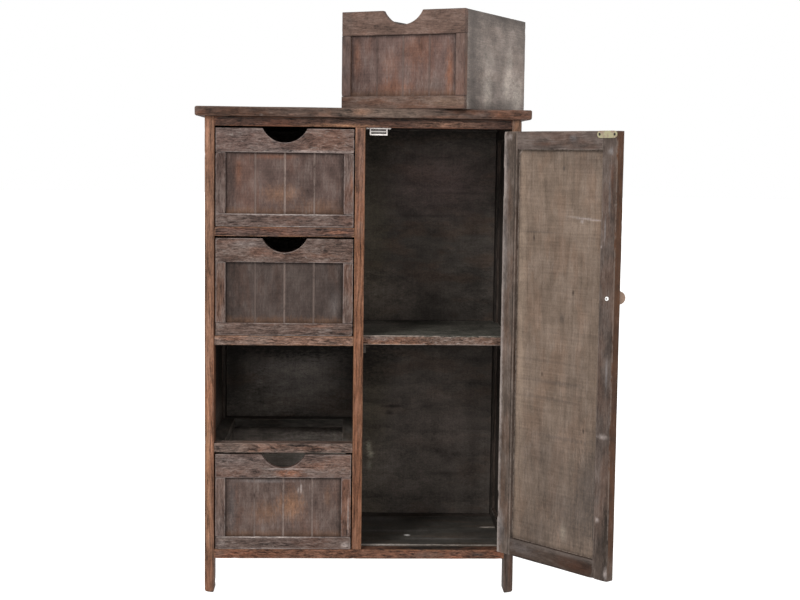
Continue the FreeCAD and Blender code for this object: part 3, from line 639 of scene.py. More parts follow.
LEG = {place: timber(f"leg wood, {place.replace('_', ' ')}", tone, 11 + k, length=70, fibre=1.9, cloud=0.9,
                     warm=0.25, busy=0.8, wash=wash, fleck=0.1, curl=2.5, worn=0.25, rubbed=rubbed,
                     marks=marks)
       for k, (place, (tone, wash, rubbed, marks)) in enumerate(LEG_TONES.items())}
stile_marks = right_through(
    (340, 0, 200, 30, t(0.172, 0.098, 0.073), 0.8), (-220, 2, 230, 40, t(0.1, 0.045, 0.026), 0.5),
    (330, -4.5, 70, 4, shade(RUST, 0.45), 0.6), (200, 0, 30, 8, STAIN_AND_SHADE, 0.5),
    (-250, -5, 120, 3, shade(RUST, 0.5), 0.7), (0, 10, 0, 4, shade(RUST, 0.4), 0.6))
stile_wood = timber(
    "middle stile wood", t(0.184, 0.079, 0.041), 15, length=70, fibre=1.8, warm=0.15, busy=0.8,
    wash=0.12, fleck=0.1, curl=2.5, worn=0.45, rubbed=TAN, marks=stile_marks)

low_places = np.array([0.6, 1.4, 2.4, 3.6, 5.0, 6.6, 8.4, 10.2, 12.0, 14.0, 17.0]) * MM  # up a foot
door_foot, door_head = (corner[2] for corner in seat("door_stile_hinge"))
leaf_levels = [(z - HINGE_L / 2, z + HINGE_L / 2)
               for z in (door_foot + HINGE_INSET, door_head - HINGE_INSET)]
leaf_ends = both_sides(*leaf_levels[0], *leaf_levels[1])
leg_pocket = leaf_pocket(-1, LEG_POCKET_X, LEG_POCKET_BACK, leaf_levels)
for place, inner in (("front_left", 1), ("front_right", -1), ("rear_left", 1), ("rear_right", -1)):
    node = "leg_" + place
    shape = foot(inner)
    extra = [(), (), np.concatenate([low_places, both_sides(FOOT_H)])]
    if place.startswith("rear"):
        shape = rear_leg(inner)
        extra[:2] = both_sides(-inner * REBATE_X), both_sides(REBATE_Y)
    elif place == "front_right":
        shape = hinge_leg(inner, leg_pocket)
        extra[1:] = both_sides(LEG_POCKET_BACK), np.concatenate([low_places, leaf_ends])
    board(node + "_worn", node, seat(node), "z", LEG[place], knocks=14, wear=0.8 * MM,
          extra=extra, shape=shape)
for place in ("front", "rear"):
    node = "middle_stile_" + place
    wood = stile_wood if place == "front" else LEG["rear_left"]
    board(node + "_worn", node, cut(seat(node), z=TENON), "z", wood, knocks=12)

rail_looks = {  # tone; how far warm, washed and ringed; tone of the edges' rubbing and painted highlight; marks
    "top_rail_front": (t(0.058, 0.029, 0.02), 0.45, 0.15, 0.5, RUST, right_through(
        # the first mark is painted shadow of the top board's overhang along the rail's upper edge
        (0, 6.5, 0, 5, GRIME_AND_SHADE, 0.6), (-40, -6, 120, 5, shade(TAN, 0.8), 0.6),
        (150, -2, 90, 9, t(0.22, 0.12, 0.078), 0.7))),
    "bottom_rail_front": (t(0.13, 0.058, 0.034), 0.4, 0.1, 0.4, TAN, right_through(
        (136, 9, 150, 2, GRIME_AND_SHADE, 1.6), (215, 0, 25, 6, STAIN_AND_SHADE, 0.7), (118, -2, 60, 12, STAIN_AND_SHADE, 0.45),
        (-250, 0, 30, 14, STAIN_AND_SHADE, 0.4))),
    "drawer_rail_1": (t(0.077, 0.044, 0.034), 0.5, 0.2, 0.8, TAN, right_through((90, 0, 40, 5, RUST, 0.5))),
    "drawer_rail_2": (t(0.146, 0.095, 0.073), 0.35, 0.3, 0.5, TAN, right_through(
        (-90, 2, 50, 4, RUST, 0.4))),
    "drawer_rail_3": (t(0.108, 0.069, 0.053), 0.5, 0.35, 0.8, t(0.3, 0.22, 0.18), right_through(
        (-80, 0, 60, 20, STAIN_AND_SHADE, 0.7), (60, 0, 60, 6, RUST, 0.35))),
    "top_rail_rear": (t(0.075, 0.058, 0.047), 0.15, 0.3, 0.5, DUSK, ((0, 0, -15, 0, 0, 60, GRIME_AND_SHADE, 1.4),)),
    "bottom_rail_rear": (t(0.07, 0.056, 0.046), 0.15, 0.3, 0.5, DUSK, ((0, 7, -15, 0, 9, 9, GRIME_AND_SHADE, 1.2),)),
}
for seed, (node, (tone, warm, wash, rings, rubbed, marks)) in enumerate(rail_looks.items()):
    wood = timber(node.replace("_", " ") + " wood", tone, 21 + seed, length=16, fibre=2.6, cloud=0.9,
                  warm=warm, busy=1.3, wash=wash, fleck=0.15, rings=rings, ring_size=3.0, curl=6.0,
                  rubbed=rubbed, marks=marks)
    board(node + "_worn", node, cut(seat(node), x=TENON), "x", wood, knocks=10)

inner_wood = timber("inner frame wood", t(0.075, 0.066, 0.056), 31, warm=0.2, wash=0.3, fleck=0.1)
for side, inner in (("left", 1), ("right", -1)):
    node = "side_rails_" + side
    wood = timber(f"{side} side rail wood", t(0.125, 0.08, 0.058), 32, warm=0.3, wash=0.3, fleck=0.2,
                  busy=1.0, marks=((0, 0, inner * 8, 0, 0, 12, GRIME_AND_SHADE, 1.0),))
    whole = cut(seat(node), y=TENON)
    for level, z in (("bottom", (0, SIDE_RAIL_H)), ("top", (-SIDE_RAIL_H, 0))):
        board(f"side_rail_{level}_{side}", node, part_of(whole, z=z), "y", wood, shift=z[0] * APART)
rear_rails = cut(seat("rear_drawer_rails"), x=TENON)
for number in (1, 2, 3):
    level = seat("drawer_rail_%d" % number)
    span = (np.array([*rear_rails[0][:2], level[0][2]]), np.array([*rear_rails[1][:2], level[1][2]]))
    board(f"rear_drawer_rail_{number}", "rear_drawer_rails", span, "x", inner_wood,
          shift=number * 0.4)
    node = "drawer_runners_%d" % number
    whole = cut(seat(node), y=TENON)
    for side, x in pair(RUNNER_W):
        board(f"drawer_runner_{side}_{number}", node, part_of(whole, x=x), "y", inner_wood,
              wear=0.5 * MM, shift=x[0] * APART + number * 0.3)
cleats = seat("shelf_cleats")
for side, x in pair(CLEAT_W):
    board(f"shelf_cleat_{side}", "shelf_cleats", part_of(cleats, x=x), "y", inner_wood)

LET_IN = {"y": TONGUE, "z": TONGUE}
PLY_LOOKS = {  # what its joints hide, the way of its grain, marks on the faces that look into the cabinet
    "side_panel_left": (LET_IN, "z", (
        (0, 2, 0, 0, 3, 0, GRIME_AND_SHADE, 1.3), (-165, 2, 40, 50, 3, 140, t(0.17, 0.14, 0.115), 0.6),
        (0, -2, 0, 0, 4, 0, t(0.17, 0.105, 0.075), 0.8))),
    "side_panel_right": (LET_IN, "z", (
        (0, -2, 0, 0, 3, 0, GRIME_AND_SHADE, 0.9), (0, 2, 0, 0, 4, 0, t(0.17, 0.105, 0.075), 0.8))),
    "divider_panel": ({"y": TONGUE}, "y", ()),
    # Painted shade: the dark marks along the back's top, at the top and left of each opening, down the left
    # of the drawer column and under the shelf stand for shade cast by the rails, the shelf and the walls.
    # Painted light: the pale marks at (-200, -165), low in the empty drawer bay, and at (60, -310), low in
    # the lower compartment.
    "back_panel": ({}, "x", marks_at(BACK_FACE,
        (-115, -95, 150, 120, t(0.38, 0.33, 0.29), 0.9), (120, -230, 330, 260, t(0.16, 0.13, 0.11), 0.7),
        (-250, 0, 40, 0, GRIME_AND_SHADE, 0.8), (25, 60, 50, 0, t(0.15, 0.122, 0.08), 0.6),
        (150, 280, 170, 110, t(0.205, 0.14, 0.127), 0.7), (30, 330, 60, 120, GRIME_AND_SHADE, 0.6),
        (90, 80, 120, 60, t(0.16, 0.12, 0.1), 0.5), (170, -200, 130, 150, t(0.17, 0.135, 0.115), 0.6),
        (0, 395, 0, 30, GRIME_AND_SHADE, 0.8), (24, -262, 10, 14, t(0.75, 0.68, 0.5), 0.9),
        (19, -246, 8, 16, t(0.6, 0.55, 0.4), 0.8), (21, -284, 8, 18, t(0.5, 0.46, 0.33), 0.7),
        (130, 215, 130, 5, GRIME_AND_SHADE, 0.4), (200, 260, 90, 5, GRIME_AND_SHADE, 0.4), (66, -165, 34, 5, GRIME_AND_SHADE, 0.9),
        (60, -178, 14, 7, GRIME_AND_SHADE, 0.8), (170, -300, 110, 6, GRIME_AND_SHADE, 0.5),
        (-200, -165, 110, 40, t(0.3, 0.26, 0.22), 0.7), (-140, -43, 320, 50, GRIME_AND_SHADE, 1.2),
        (130, -38, 200, 28, GRIME_AND_SHADE, 0.75), (12, -80, 90, 80, GRIME_AND_SHADE, 1.0), (25, -18, 60, 40, GRIME_AND_SHADE, 0.5),
        (60, -310, 130, 120, t(0.24, 0.2, 0.17), 0.65), (235, -330, 50, 130, GRIME_AND_SHADE, 0.4),
        (228, -250, 24, 230, GRIME_AND_SHADE, 0.35), (120, 396, 400, 62, GRIME_AND_SHADE, 1.2), (20, 345, 55, 60, GRIME_AND_SHADE, 0.5),
        (45, 42, 90, 80, t(0.3, 0.245, 0.2), 0.6), (228, 95, 34, 150, GRIME_AND_SHADE, 0.5),
        (190, 15, 90, 40, GRIME_AND_SHADE, 0.3))),
    "bottom_board": ({"y": BOARD_LAP}, "x", (
        all_over(t(0.022, 0.03, 0.026), 0.42), (90, 0, -34, 8, 0, 9, t(0.9, 0.85, 0.8), 1.6),
        (250, 0, 28, 24, 0, 8, PALE, 1.3), (35, 0, -104, 100, 0, 9, t(0.7, 0.62, 0.55), 1.4),
        (160, 0, -105, 260, 0, 6, PALE, 1.0), (60, 0, 0, 130, 0, 12, HAZE, 0.5),
        (150, 0, -60, 140, 0, 10, HAZE, 0.5), (215, 0, 95, 120, 0, 40, GRIME_AND_SHADE, 0.5),
        (30, 0, 95, 90, 0, 30, HAZE, 0.5), (215, 0, -20, 70, 0, 50, GRIME_AND_SHADE, 0.35))),
}
for k, (node, (cuts, along, marks)) in enumerate(PLY_LOOKS.items()):
    wood = timber(node.replace("_", " ") + " plywood", t(0.113, 0.094, 0.079), 41 + k, length=110,
                  fibre=0.15, cloud=0.9, warm=0.3, wash=0.15, fleck=0.05,
                  rings=0.2 if node == "back_panel" else 0.0, ring_size=46.0, curl=28.0, cross=0.4,
                  busy=0.8, marks=marks)
    board(node + "_worn", node, cut(seat(node), **cuts), along, wood, "plywood", soft=0.5 * MM,
          step=12 * MM, wear=0.3 * MM)
shelf_marks = (
    (-90, -7.5, 0, 90, 3, 0, TAN, 1.2), (-110, 5, -128, 60, 7, 12, HAZE, 0.5),
    (0, 8.8, 0, 0, 3.5, 0, t(0.1, 0.096, 0.078), 1.8),
    (-105, 8.8, 60, 90, 4, 150, t(0.22, 0.195, 0.165), 0.9), (90, 8.8, 70, 110, 4, 130, GRIME_AND_SHADE, 0.45))
shelf_wood = timber(
    "shelf wood", t(0.138, 0.081, 0.057), 47, length=14, fibre=2.4, cloud=0.9, warm=0.4, curl=7.0,
    busy=1.6, fleck=0.8, rubbed=t(0.42, 0.33, 0.28), worn=0.8, marks=shelf_marks)
board("shelf_worn", "shelf", seat("shelf"), "x", shelf_wood, knocks=12)
top_board_marks = (
    (-5, 1, -150, 26, 10, 22, t(0.34, 0.15, 0.078), 0.8), (-180, -7, -150, 5, 4, 10, CHALK, 0.9),
    (-285, -4, 0, 18, 8, 0, RUST, 0.5), (262, 0, -140, 50, 0, 30, shade(RUST, 0.75), 0.6),
    (-225, 0, -150, 170, 40, 60, t(0.045, 0.022, 0.013), 0.75),
    (30, 0, -150, 160, 30, 40, t(0.14, 0.1, 0.075), 0.7), (140, -6, -150, 60, 5, 25, RUST, 0.35))
top_wood = timber(
    "top board wood", t(0.092, 0.058, 0.044), 48, length=24, fibre=1.6, busy=0.8, cloud=1.0, warm=0.6,
    wash=0.25, fleck=0.12, rings=0.4, curl=5.0, rubbed=t(0.2, 0.13, 0.1), marks=top_board_marks)
board("top_board_worn", "top_board", seat("top_board"), "x", top_wood, "top_wood", soft=3 * MM,
      step=9 * MM, wear=1.0 * MM, knocks=26)

# ---- door ----

OUTER_FACE = (0, 0, -INSIDE, 0, 0, 3, STAIN, 0.9)
door_looks = {  # tone, seed, marks; the hinge side is plus across
    "door_stile_hinge": (t(0.113, 0.083, 0.065), 51, (
        OUTER_FACE, (0, 14.5, INSIDE, 0, 8, 4, t(0.32, 0.265, 0.235), 1.1),
        *marks_at(INSIDE,
            (368, 2, 9, 9, CHALK, 0.8), (320, 11, 70, 8, CHALK, 0.6), (-330, 8, 60, 16, HAZE, 0.7),
            (0, -11.5, 0, 2.4, GRIME_AND_SHADE, 0.7), (200, 8, 200, 9, HAZE, 0.5)),
        (290, 15.2, 0, 26, 1.7, 0, KNOT, 1.0), (-288, 15.2, 0, 26, 1.7, 0, KNOT, 1.0))),
    "door_stile_lock": (t(0.097, 0.071, 0.058), 52, (
        OUTER_FACE, (0, -17, 0, 0, 4.5, 0, t(0.085, 0.038, 0.019), 1.8),
        *marks_at(INSIDE,
            (344, -2, 9, 9, HAZE, 0.9), (272, -2, 60, 4, HAZE, 0.6), (214, 6.5, 34, 3, HAZE, 0.8),
            (186, 14, 4, 3, CHALK, 0.9), (-28, -4, 45, 4, HAZE, 0.8), (-132, 0, 7, 20, CHALK, 0.7),
            (-275, 8, 7, 7, CHALK, 1.0)),
        (-320, -12.5, INSIDE, 120, 10, 4, t(0.02, 0.013, 0.009), 1.8),
        (-375, -17, 0, 60, 5, 0, t(0.16, 0.12, 0.095), 1.0),
        (-350, 0, INSIDE, 130, 30, 4, t(0.06, 0.042, 0.032), 0.85),
        *marks_at(INSIDE,
            (-364, -13, 16, 7, CHALK, 1.2), (300, -6, 40, 6, shade(RUST, 0.5), 0.5)))),
    "door_rail_top": (t(0.114, 0.084, 0.07), 53, (
        OUTER_FACE,
        *marks_at(INSIDE,
            (-31, 4, 13, 9, HAZE, 0.8), (30, -6, 40, 6, shade(RUST, 0.5), 0.45),
            (85, 4, 20, 10, STAIN_AND_SHADE, 0.5)))),
    "door_rail_bottom": (t(0.068, 0.043, 0.031), 54, (
        OUTER_FACE,
        *marks_at(INSIDE,
            (-70, -10, 150, 26, t(0.03, 0.02, 0.014), 0.85), (0, 13, 0, 8, t(0.14, 0.11, 0.093), 0.8),
            (0, -15, 170, 5, t(0.025, 0.016, 0.011), 0.9), (-60, -3, 70, 18, shade(RUST, 0.3), 0.8),
            (70, 2, 50, 14, HAZE, 0.4)))),
}
door_wood = {node: timber(node.replace("_", " ") + " wood", tone, seed, length=40, fibre=0.6, busy=0.5,
                          cloud=1.1, warm=0.25, wash=0.3, fleck=0.2, rings=0.1, worn=0.55, marks=marks)
             for node, (tone, seed, marks) in door_looks.items()}
stile_pocket = leaf_pocket(1, DOOR_POCKET_X, 0.0, leaf_levels)
for node in ("door_stile_hinge", "door_stile_lock"):
    hinge = node.endswith("hinge")
    board(node + "_worn", node, seat(node), "z", door_wood[node], "front_wood", knocks=12,
          extra=((), (), leaf_ends if hinge else ()), shape=stile_pocket if hinge else None)
for node in ("door_rail_top", "door_rail_bottom"):
    board(node + "_worn", node, cut(seat(node), x=STUB), "x", door_wood[node], "front_wood", knocks=8)
panel_marks = (
    (0, 0, -PANEL_INSIDE, 0, 0, 3, PANEL_STAIN, 0.9),
    *marks_at(PANEL_INSIDE,
        # (352, 0) under the top rail and (0, 98.5) beside the hinge stile are painted shade of the frame's
        # recess
        (352, 0, 24, 0, STAIN_AND_SHADE, 0.45), (325, -60, 36, 80, STAIN_AND_SHADE, 0.35),
        (50, 85, 560, 16, t(0.27, 0.198, 0.146), 0.9), (0, 98.5, 0, 7, GRIME_AND_SHADE, 0.8),
        (0, -98, 0, 10, STAIN_AND_SHADE, 0.4), (315, -7, 8, 5, STAIN_AND_SHADE, 0.9), (193, 58.6, 9, 3.4, KNOT, 1.0),
        (104, -34, 8, 3.2, KNOT, 0.9), (59, -10, 14, 10, STAIN_AND_SHADE, 0.6), (-43, 33, 7, 3, KNOT, 1.0),
        (-130, -64, 7, 3, KNOT, 1.0), (233, -32, 2.2, 26, CHALK, 0.4), (231, -56, 2.8, 34, CHALK, 0.7),
        (229, -80, 2.6, 30, CHALK, 0.6), (204, 50, 2.5, 80, STAIN_AND_SHADE, 0.5), (226, -50, 5, 6, CHALK, 0.7),
        (-55, 0, 6, 130, STAIN_AND_SHADE, 0.45), (-85, 20, 5, 110, STAIN_AND_SHADE, 0.4), (-150, -10, 6, 130, STAIN_AND_SHADE, 0.4),
        (-20, 30, 4, 120, STAIN_AND_SHADE, 0.3), (-313, -24, 24, 13, t(0.38, 0.31, 0.24), 0.8),
        (-250, -75, 120, 50, STAIN_AND_SHADE, 0.75), (-215, -80, 90, 40, STAIN_AND_SHADE, 0.5),
        (-268, -20, 44, 90, STAIN_AND_SHADE, 0.35), (-300, -45, 60, 60, STAIN_AND_SHADE, 0.5), (-240, -92, 160, 16, STAIN_AND_SHADE, 0.6),
        (-60, -45, 150, 50, STAIN_AND_SHADE, 0.2), (-325, 40, 60, 80, STAIN_AND_SHADE, 0.5), (-230, -10, 190, 160, STAIN_AND_SHADE, 0.36),
        (-180, 30, 60, 80, STAIN_AND_SHADE, 0.3)))
panel_face = timber("door panel wood", t(0.19, 0.136, 0.1), 55, length=70, fibre=0.22, cloud=0.6, warm=0.1,
                    wash=0.12, fleck=0.1, rings=0.12, ring_size=11.0, curl=5.0, cross=0.6, busy=0.35,
                    rim=0.2, lines=0.7, marks=panel_marks)
grooved_panel("door_panel_boards", "door_panel", panel_face, "door_panel_wood", 9 * MM)

# ---- drawers ----

RIGHT = -360  # mm along the stile wood, where the right stiles are cut from
front_looks = {
    1: dict(
        frame_tone=STAIN, panel_tone=PANEL_STAIN,
        panel_marks=marks_at(PANEL_FACE,
            (-19, -6, 26, 50, TAN, 0.35), (-40, 60, 20, 60, shade(TAN, 0.7), 0.3),
            (20, -82, 40, 9, RUST, 0.5), (48, -20, 9, 60, RUST, 0.45)),
        rail_marks=(all_over(t(0.06, 0.045, 0.037), 0.18), *marks_at(FRONT_FACE,
            (0, 11, 150, 3.4, CHALK, 1.2), (30, -11, 110, 2, CHALK, 0.8))),
        grip_marks=marks_at(FRONT_FACE,
            (80, -4, 90, 50, shade(RUST, 0.55), 0.4), (-75, 0, 130, 60, t(0.09, 0.073, 0.069), 0.4),
            (50, -19, 160, 4, CHALK, 0.5)),
        stile_marks=marks_at(FRONT_FACE, (RIGHT, 5, 36, 5, RUST, 0.5))),
    2: dict(
        frame_tone=t(0.107, 0.067, 0.052), panel_tone=t(0.062, 0.043, 0.036),
        panel_marks=marks_at(PANEL_FACE, (30, 20, 16, 50, STAIN_AND_SHADE, 0.4), (-20, 90, 40, 14, HAZE, 0.25)),
        rail_marks=marks_at(FRONT_FACE, (60, 6, 50, 5, RUST, 0.4), (0, -11, 130, 2, HAZE, 0.8)),
        grip_marks=marks_at(FRONT_FACE,
            (-60, 12, 60, 10, HAZE, 0.35), (70, -8, 50, 8, shade(RUST, 0.7), 0.35)),
        stile_marks=marks_at(FRONT_FACE, (0, -2, 70, 9, shade(TAN, 0.5), 0.4))),
    3: dict(
        frame_tone=t(0.13, 0.079, 0.058), panel_tone=t(0.134, 0.082, 0.068),
        panel_marks=marks_at(PANEL_FACE,
            (25, 25, 44, 40, RUST, 0.45), (-40, -20, 24, 60, RUST, 0.5), (0, -25, 40, 30, RUST, 0.25),
            (15, -94, 60, 12, RUST, 0.8), (-15, 92, 70, 12, RUST, 0.8), (-35, 60, 20, 40, STAIN_AND_SHADE, 0.5)),
        rail_marks=marks_at(FRONT_FACE,
            (-60, 0, 60, 8, RUST, 0.3), (90, 0, 60, 14, t(0.17, 0.1, 0.06), 0.4)),
        grip_marks=(all_over(t(0.165, 0.1, 0.077), 0.4), *marks_at(FRONT_FACE,
            (-110, 8, 16, 40, STAIN_AND_SHADE, 0.4))),
        stile_marks=marks_at(FRONT_FACE,
            (0, 0, 160, 30, t(0.12, 0.092, 0.088), 0.6), (RIGHT, 0, 160, 30, t(0.125, 0.078, 0.068), 0.5))),
    4: dict(
        frame_tone=t(0.111, 0.071, 0.057), panel_tone=t(0.116, 0.076, 0.062),
        panel_marks=marks_at(PANEL_FACE,
            (4, 14, 40, 34, TAN, 0.6), (-10, -30, 30, 40, shade(TAN, 0.6), 0.5),
            (35, 32, 14, 3, CHALK, 0.9), (31, 27, 10, 2.6, CHALK, 0.8),
            (20, 80, 30, 10, shade(TAN, 0.6), 0.35), (0, -94, 80, 12, HAZE, 0.7),
            (48, -30, 6, 90, HAZE, 0.6)),
        rail_marks=(all_over(t(0.06, 0.045, 0.037), 0.25), *marks_at(FRONT_FACE,
            (-112, -2, 14, 10, CHALK, 0.35), (114, -4, 12, 10, CHALK, 0.7), (-40, -11, 140, 3, CHALK, 0.6),
            (-30, 11, 150, 3.4, CHALK, 1.0))),
        grip_marks=marks_at(FRONT_FACE,
            (8, -13, 36, 10, RUST, 0.8), (62, 0, 50, 10, shade(RUST, 0.8), 0.45),
            (-85, 10, 80, 14, HAZE, 0.2), (0, -5, 66, 3, CHALK, 0.6),
            (108, 0, 50, 50, t(0.17, 0.105, 0.08), 0.5)),
        stile_marks=marks_at(FRONT_FACE,
            (RIGHT, 0, 120, 22, shade(RUST, 0.85), 0.55), (RIGHT - 20, 4, 60, 2.4, CHALK, 0.7),
            (-40, 0, 40, 14, HAZE, 0.4), (15, 0, 100, 24, t(0.17, 0.105, 0.08), 0.4))),
}
# the last mark, (-138, 0), is painted shade in the joint behind the drawer's front
SIDE_CLOUDS = right_through(
    (-40, -50, 34, 46, PALE, 1.0), (-36, 4, 44, 44, PALE, 0.4), (50, -40, 34, 44, PALE, 0.8),
    (62, 0, 26, 50, PALE, 0.65), (100, -56, 40, 50, PALE, 0.9), (-128, -78, 44, 26, PALE, 0.55),
    (-110, 10, 50, 0, DUSK, 0.9), (0, 85, 0, 24, DUSK, 0.8), (0, -88, 0, 18, DUSK, 0.45),
    (10, 0, 30, 40, DUSK, 0.3), (132, 40, 18, 90, DUSK, 0.6), (-138, 0, 5, 0, GRIME_AND_SHADE, 1.5))
CLOUDS_4 = right_through((75, 62, 90, 60, t(0.12, 0.1, 0.085), 0.7), (-75, 72, 60, 40, PALE, 0.5))
GROOVE_WASH = {1: 0.85, 2: 0.55, 3: 0.3, 4: 0.85}  # how much of it each panel's grooves keep
half_chord = math.sqrt(GRIP_R**2 - (GRIP_R - GRIP_DEPTH) ** 2)
for number, given in front_looks.items():
    name = "drawer_%d_" % number
    loose = number == 3
    looks = dict(fibre=2.0, cloud=1.0, warm=0.3, fleck=0.6, rings=0.2, ring_size=3.0, worn=0.55,
                 rubbed=t(0.3, 0.25, 0.23))
    if loose:
        looks.update(fibre=0.9, wash=0.3, fleck=0.2, worn=0.5, rubbed=t(0.06, 0.045, 0.042))
    speckled = 0.6 if loose else 1.0
    frame_tone, panel_tone = given["frame_tone"], given["panel_tone"]
    rail_wood = timber(f"drawer {number} rail wood", frame_tone, 60 + number, length=18, curl=9.0,
                       busy=speckled, marks=given["grip_marks"], **looks)
    low_rail_wood = timber(f"drawer {number} bottom rail wood", frame_tone, 65 + number, length=20,
                           curl=6.0, busy=speckled, marks=given["rail_marks"], **looks)
    looks.update(fibre=0.7 * looks["fibre"], fleck=0.4 * looks["fleck"])
    upright_wood = timber(f"drawer {number} stile wood", frame_tone, 70 + number, length=24, curl=8.0,
                          busy=0.45 * speckled, marks=given["stile_marks"], **looks)
    # painted shade of the panel's recess along its left (widest), right and top borders; a darker warm band
    # along its bottom
    recess_shade_and_stain = marks_at(PANEL_FACE,
        (0, -108, 0, 34, shade(panel_tone, 0.45), 0.9), (0, 108, 0, 20, shade(panel_tone, 0.45), 0.9),
        (54, 0, 7, 0, shade(panel_tone, 0.4), 0.8), (-54, 0, 16, 0, shade(TAN, 0.4), 0.6))
    field_wood = timber(f"drawer {number} panel wood", panel_tone, 80 + number, length=40, fibre=0.28,
                        cloud=1.0, warm=0.22, wash=0.3, fleck=0.2, rings=0.0, curl=5.0, cross=0.5, busy=0.5,
                        rim=0.25, lines=GROOVE_WASH[number], worn=0.0, marks=given["panel_marks"] + recess_shade_and_stain)
    side_tone = t(0.257, 0.208, 0.178) if number < 4 else t(0.51, 0.45, 0.39)
    side_wood = timber(f"drawer {number} side plywood", side_tone, 90 + number, length=60, fibre=0.3,
                       cloud=0.9, warm=0.05, wash=0.3, fleck=0.0, rings=0.0, curl=2.0, cross=0.25,
                       busy=0.45, rubbed=t(0.12, 0.1, 0.09),
                       marks=SIDE_CLOUDS + (CLOUDS_4 if number == 4 else ()))
    grip = seat(name + "grip_rail")
    middle = (grip[0][0] + grip[1][0]) / 2
    arc_places = middle + half_chord * np.sin(np.linspace(-1, 1, 41) * math.pi / 2)
    board(name + "grip_rail_worn", name + "grip_rail", grip, "x", rail_wood, "front_wood", step=5 * MM,
          knocks=8, extra=(arc_places, (), ()), shape=scoop)
    node = name + "front_frame"
    whole = seat(node)
    whole[1][2] = grip[0][2]
    board(name + "bottom_rail", node, part_of(whole, z=(0, DRAWER_BOTTOM_RAIL)), "x", low_rail_wood,
          "front_wood", step=5 * MM, knocks=8)
    upper = part_of(whole, z=(DRAWER_BOTTOM_RAIL, 0))
    for side, x in pair(DRAWER_STILE):
        board(f"{name}stile_{side}", node, part_of(upper, x=x), "z", upright_wood, "front_wood",
              step=5 * MM, knocks=4, shift=RIGHT * MM if side == "right" else 0.0)
    grooved_panel(name + "panel_boards", name + "front_panel", field_wood, "panel_wood", 5 * MM)
    node = name + "box"
    whole = seat(node)
    sawn = dict(soft=0.6 * MM, step=9 * MM, wear=0.4 * MM)
    for side, x in pair(DRAWER_SIDE):
        board(f"{name}side_{side}", node, part_of(whole, x=x), "y", side_wood, "plywood", **sawn)
    between = cut(whole, x=DRAWER_SIDE)
    board(name + "back", node, part_of(between, y=(-DRAWER_SIDE, 0)), "x", side_wood, "plywood", **sawn)
    base = part_of(between, y=(0, -DRAWER_SIDE), z=(DRAWER_BOTTOM_UP, DRAWER_BOTTOM_UP + DRAWER_BOTTOM_T))
    board(name + "bottom", node, base, "x", side_wood, "plywood", soft=0.4 * MM, step=12 * MM, wear=0.0,
          knocks=0)

# ---- hardware ----

brass = metal("brass of the hinges", (0.62, 0.47, 0.24), (0.3, 0.24, 0.15), 0.42)
plate_brass = metal("brass of the strike plate", (0.243, 0.22, 0.131), (0.187, 0.131, 0.098), 0.55,
                    scale=130.0, metallic=0.3)
steel = metal("steel screws", (0.62, 0.61, 0.6), (0.3, 0.29, 0.28), 0.35)
magnet = banded_magnet("magnet and its plates", sum(seat("magnet_parts"))[2] / 2)
white = plastic("catch plastic", (0.78, 0.73, 0.7), (0.5, 0.45, 0.41))
knob_wood = turned_wood("knob wood", t(0.36, 0.225, 0.15), TURN["door"])
dark_steel = metal("dark screws", (0.016, 0.012, 0.007), (0.008, 0.006, 0.004), 0.85, metallic=0.0)
screw_ring = ringed_steel("knob screw", KNOB_SCREW, TURN["door"])
for nodes, finish in (
    (["hinge_leaves_leg", "hinge_leaves_door", "hinge_pins"], brass),
    (["hinge_screws_leg", "hinge_screws_door", "catch_screws"], steel),
    (["knob_screw"], screw_ring),
    (["strike_plate"], plate_brass),
    (["strike_screws"], dark_steel),
    (["magnet_parts"], magnet),
    (["catch_body"], white),
    (["door_knob"], knob_wood),
):
    for node in nodes:
        mesh = frame["nodes"][node].data
        mesh.materials.clear()
        mesh.materials.append(finish)

# ---- stage, light and camera ----

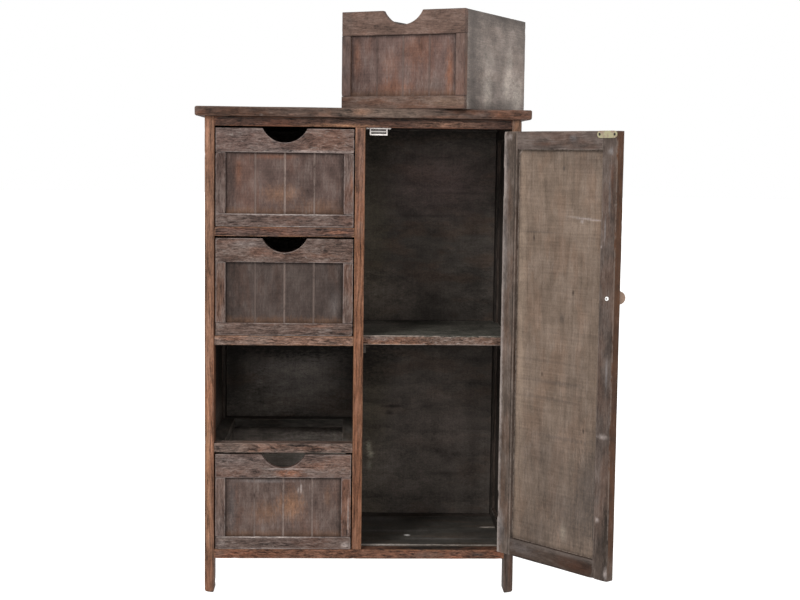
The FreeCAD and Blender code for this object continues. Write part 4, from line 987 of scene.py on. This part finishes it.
floor_finish = Finish("pale floor")
floor_cloud = floor_finish.noise(floor_finish.stretch(floor_finish.place(), (0.7, 0.7, 0.7)), detail=2)
floor_colour = floor_finish.blend(floor_cloud, (0.26, 0.26, 0.26), (0.3, 0.3, 0.3))
floor_finish.close(floor_colour, 0.9, Emission_Color=(1, 1, 1), Emission_Strength=1.0)
floor_mesh = bpy.data.meshes.new("floor")
FLOOR_R, FLOOR_SIDES = 30.0, 96
around = np.linspace(0, 2 * math.pi, FLOOR_SIDES, endpoint=False)
ring = np.stack([np.cos(around), np.sin(around), np.zeros(FLOOR_SIDES)], 1) * FLOOR_R
floor_mesh.from_pydata(ring, [], [list(range(FLOOR_SIDES))])
floor_mesh.materials.append(floor_finish.material)
floor = bpy.data.objects.new("floor", floor_mesh)
bpy.context.scene.collection.objects.link(floor)

world = bpy.data.worlds.new("soft studio")
world.use_nodes = True
background = world.node_tree.nodes["Background"].inputs
background["Color"].default_value = (1, 1, 1, 1)
background["Strength"].default_value = 1.0
bpy.context.scene.world = world


def soft_light(name, at, aim, size, power):
    """A round lamp of a size in metres and a power in watts, turned from its place to its aim."""
    data = bpy.data.lights.new(name, "AREA")
    data.shape = "DISK"
    data.size = size
    data.energy = power
    lamp = bpy.data.objects.new(name, data)
    bpy.context.scene.collection.objects.link(lamp)
    turned = (Vector(aim) - Vector(at)).to_track_quat("-Z", "Y").to_matrix().to_4x4()
    lamp.matrix_world = Matrix.Translation(at) @ turned


soft_light("key", (-1.9, -2.6, 2.6), (0.0, 0.0, 0.5), 1.4, 130.0)
soft_light("fill", (2.4, -2.2, 1.6), (0.1, 0.0, 0.6), 1.8, 40.0)

CAMERA_AT = (-0.03055, -2.77857, 0.78835)
PITCH, ROLL, YAW = -0.0952, -0.0126, -0.0373  # radians, from a level look along plus y
camera_data = bpy.data.cameras.new("camera")
camera_data.sensor_width = 36.0
camera_data.lens = 66.685
camera_data.clip_end = 200.0
camera = bpy.data.objects.new("camera", camera_data)
bpy.context.scene.collection.objects.link(camera)
aim = Matrix.Rotation(YAW, 3, "Z") @ Matrix.Rotation(PITCH, 3, "X") @ Matrix.Rotation(ROLL, 3, "Y")
right, forward, up = aim.col
axes = (right, up, -forward)
camera.matrix_world = Matrix(
    [(*[axis[k] for axis in axes], CAMERA_AT[k]) for k in range(3)] + [(0, 0, 0, 1)])
bpy.context.scene.camera = camera
bpy.context.scene.view_settings.view_transform = "Standard"
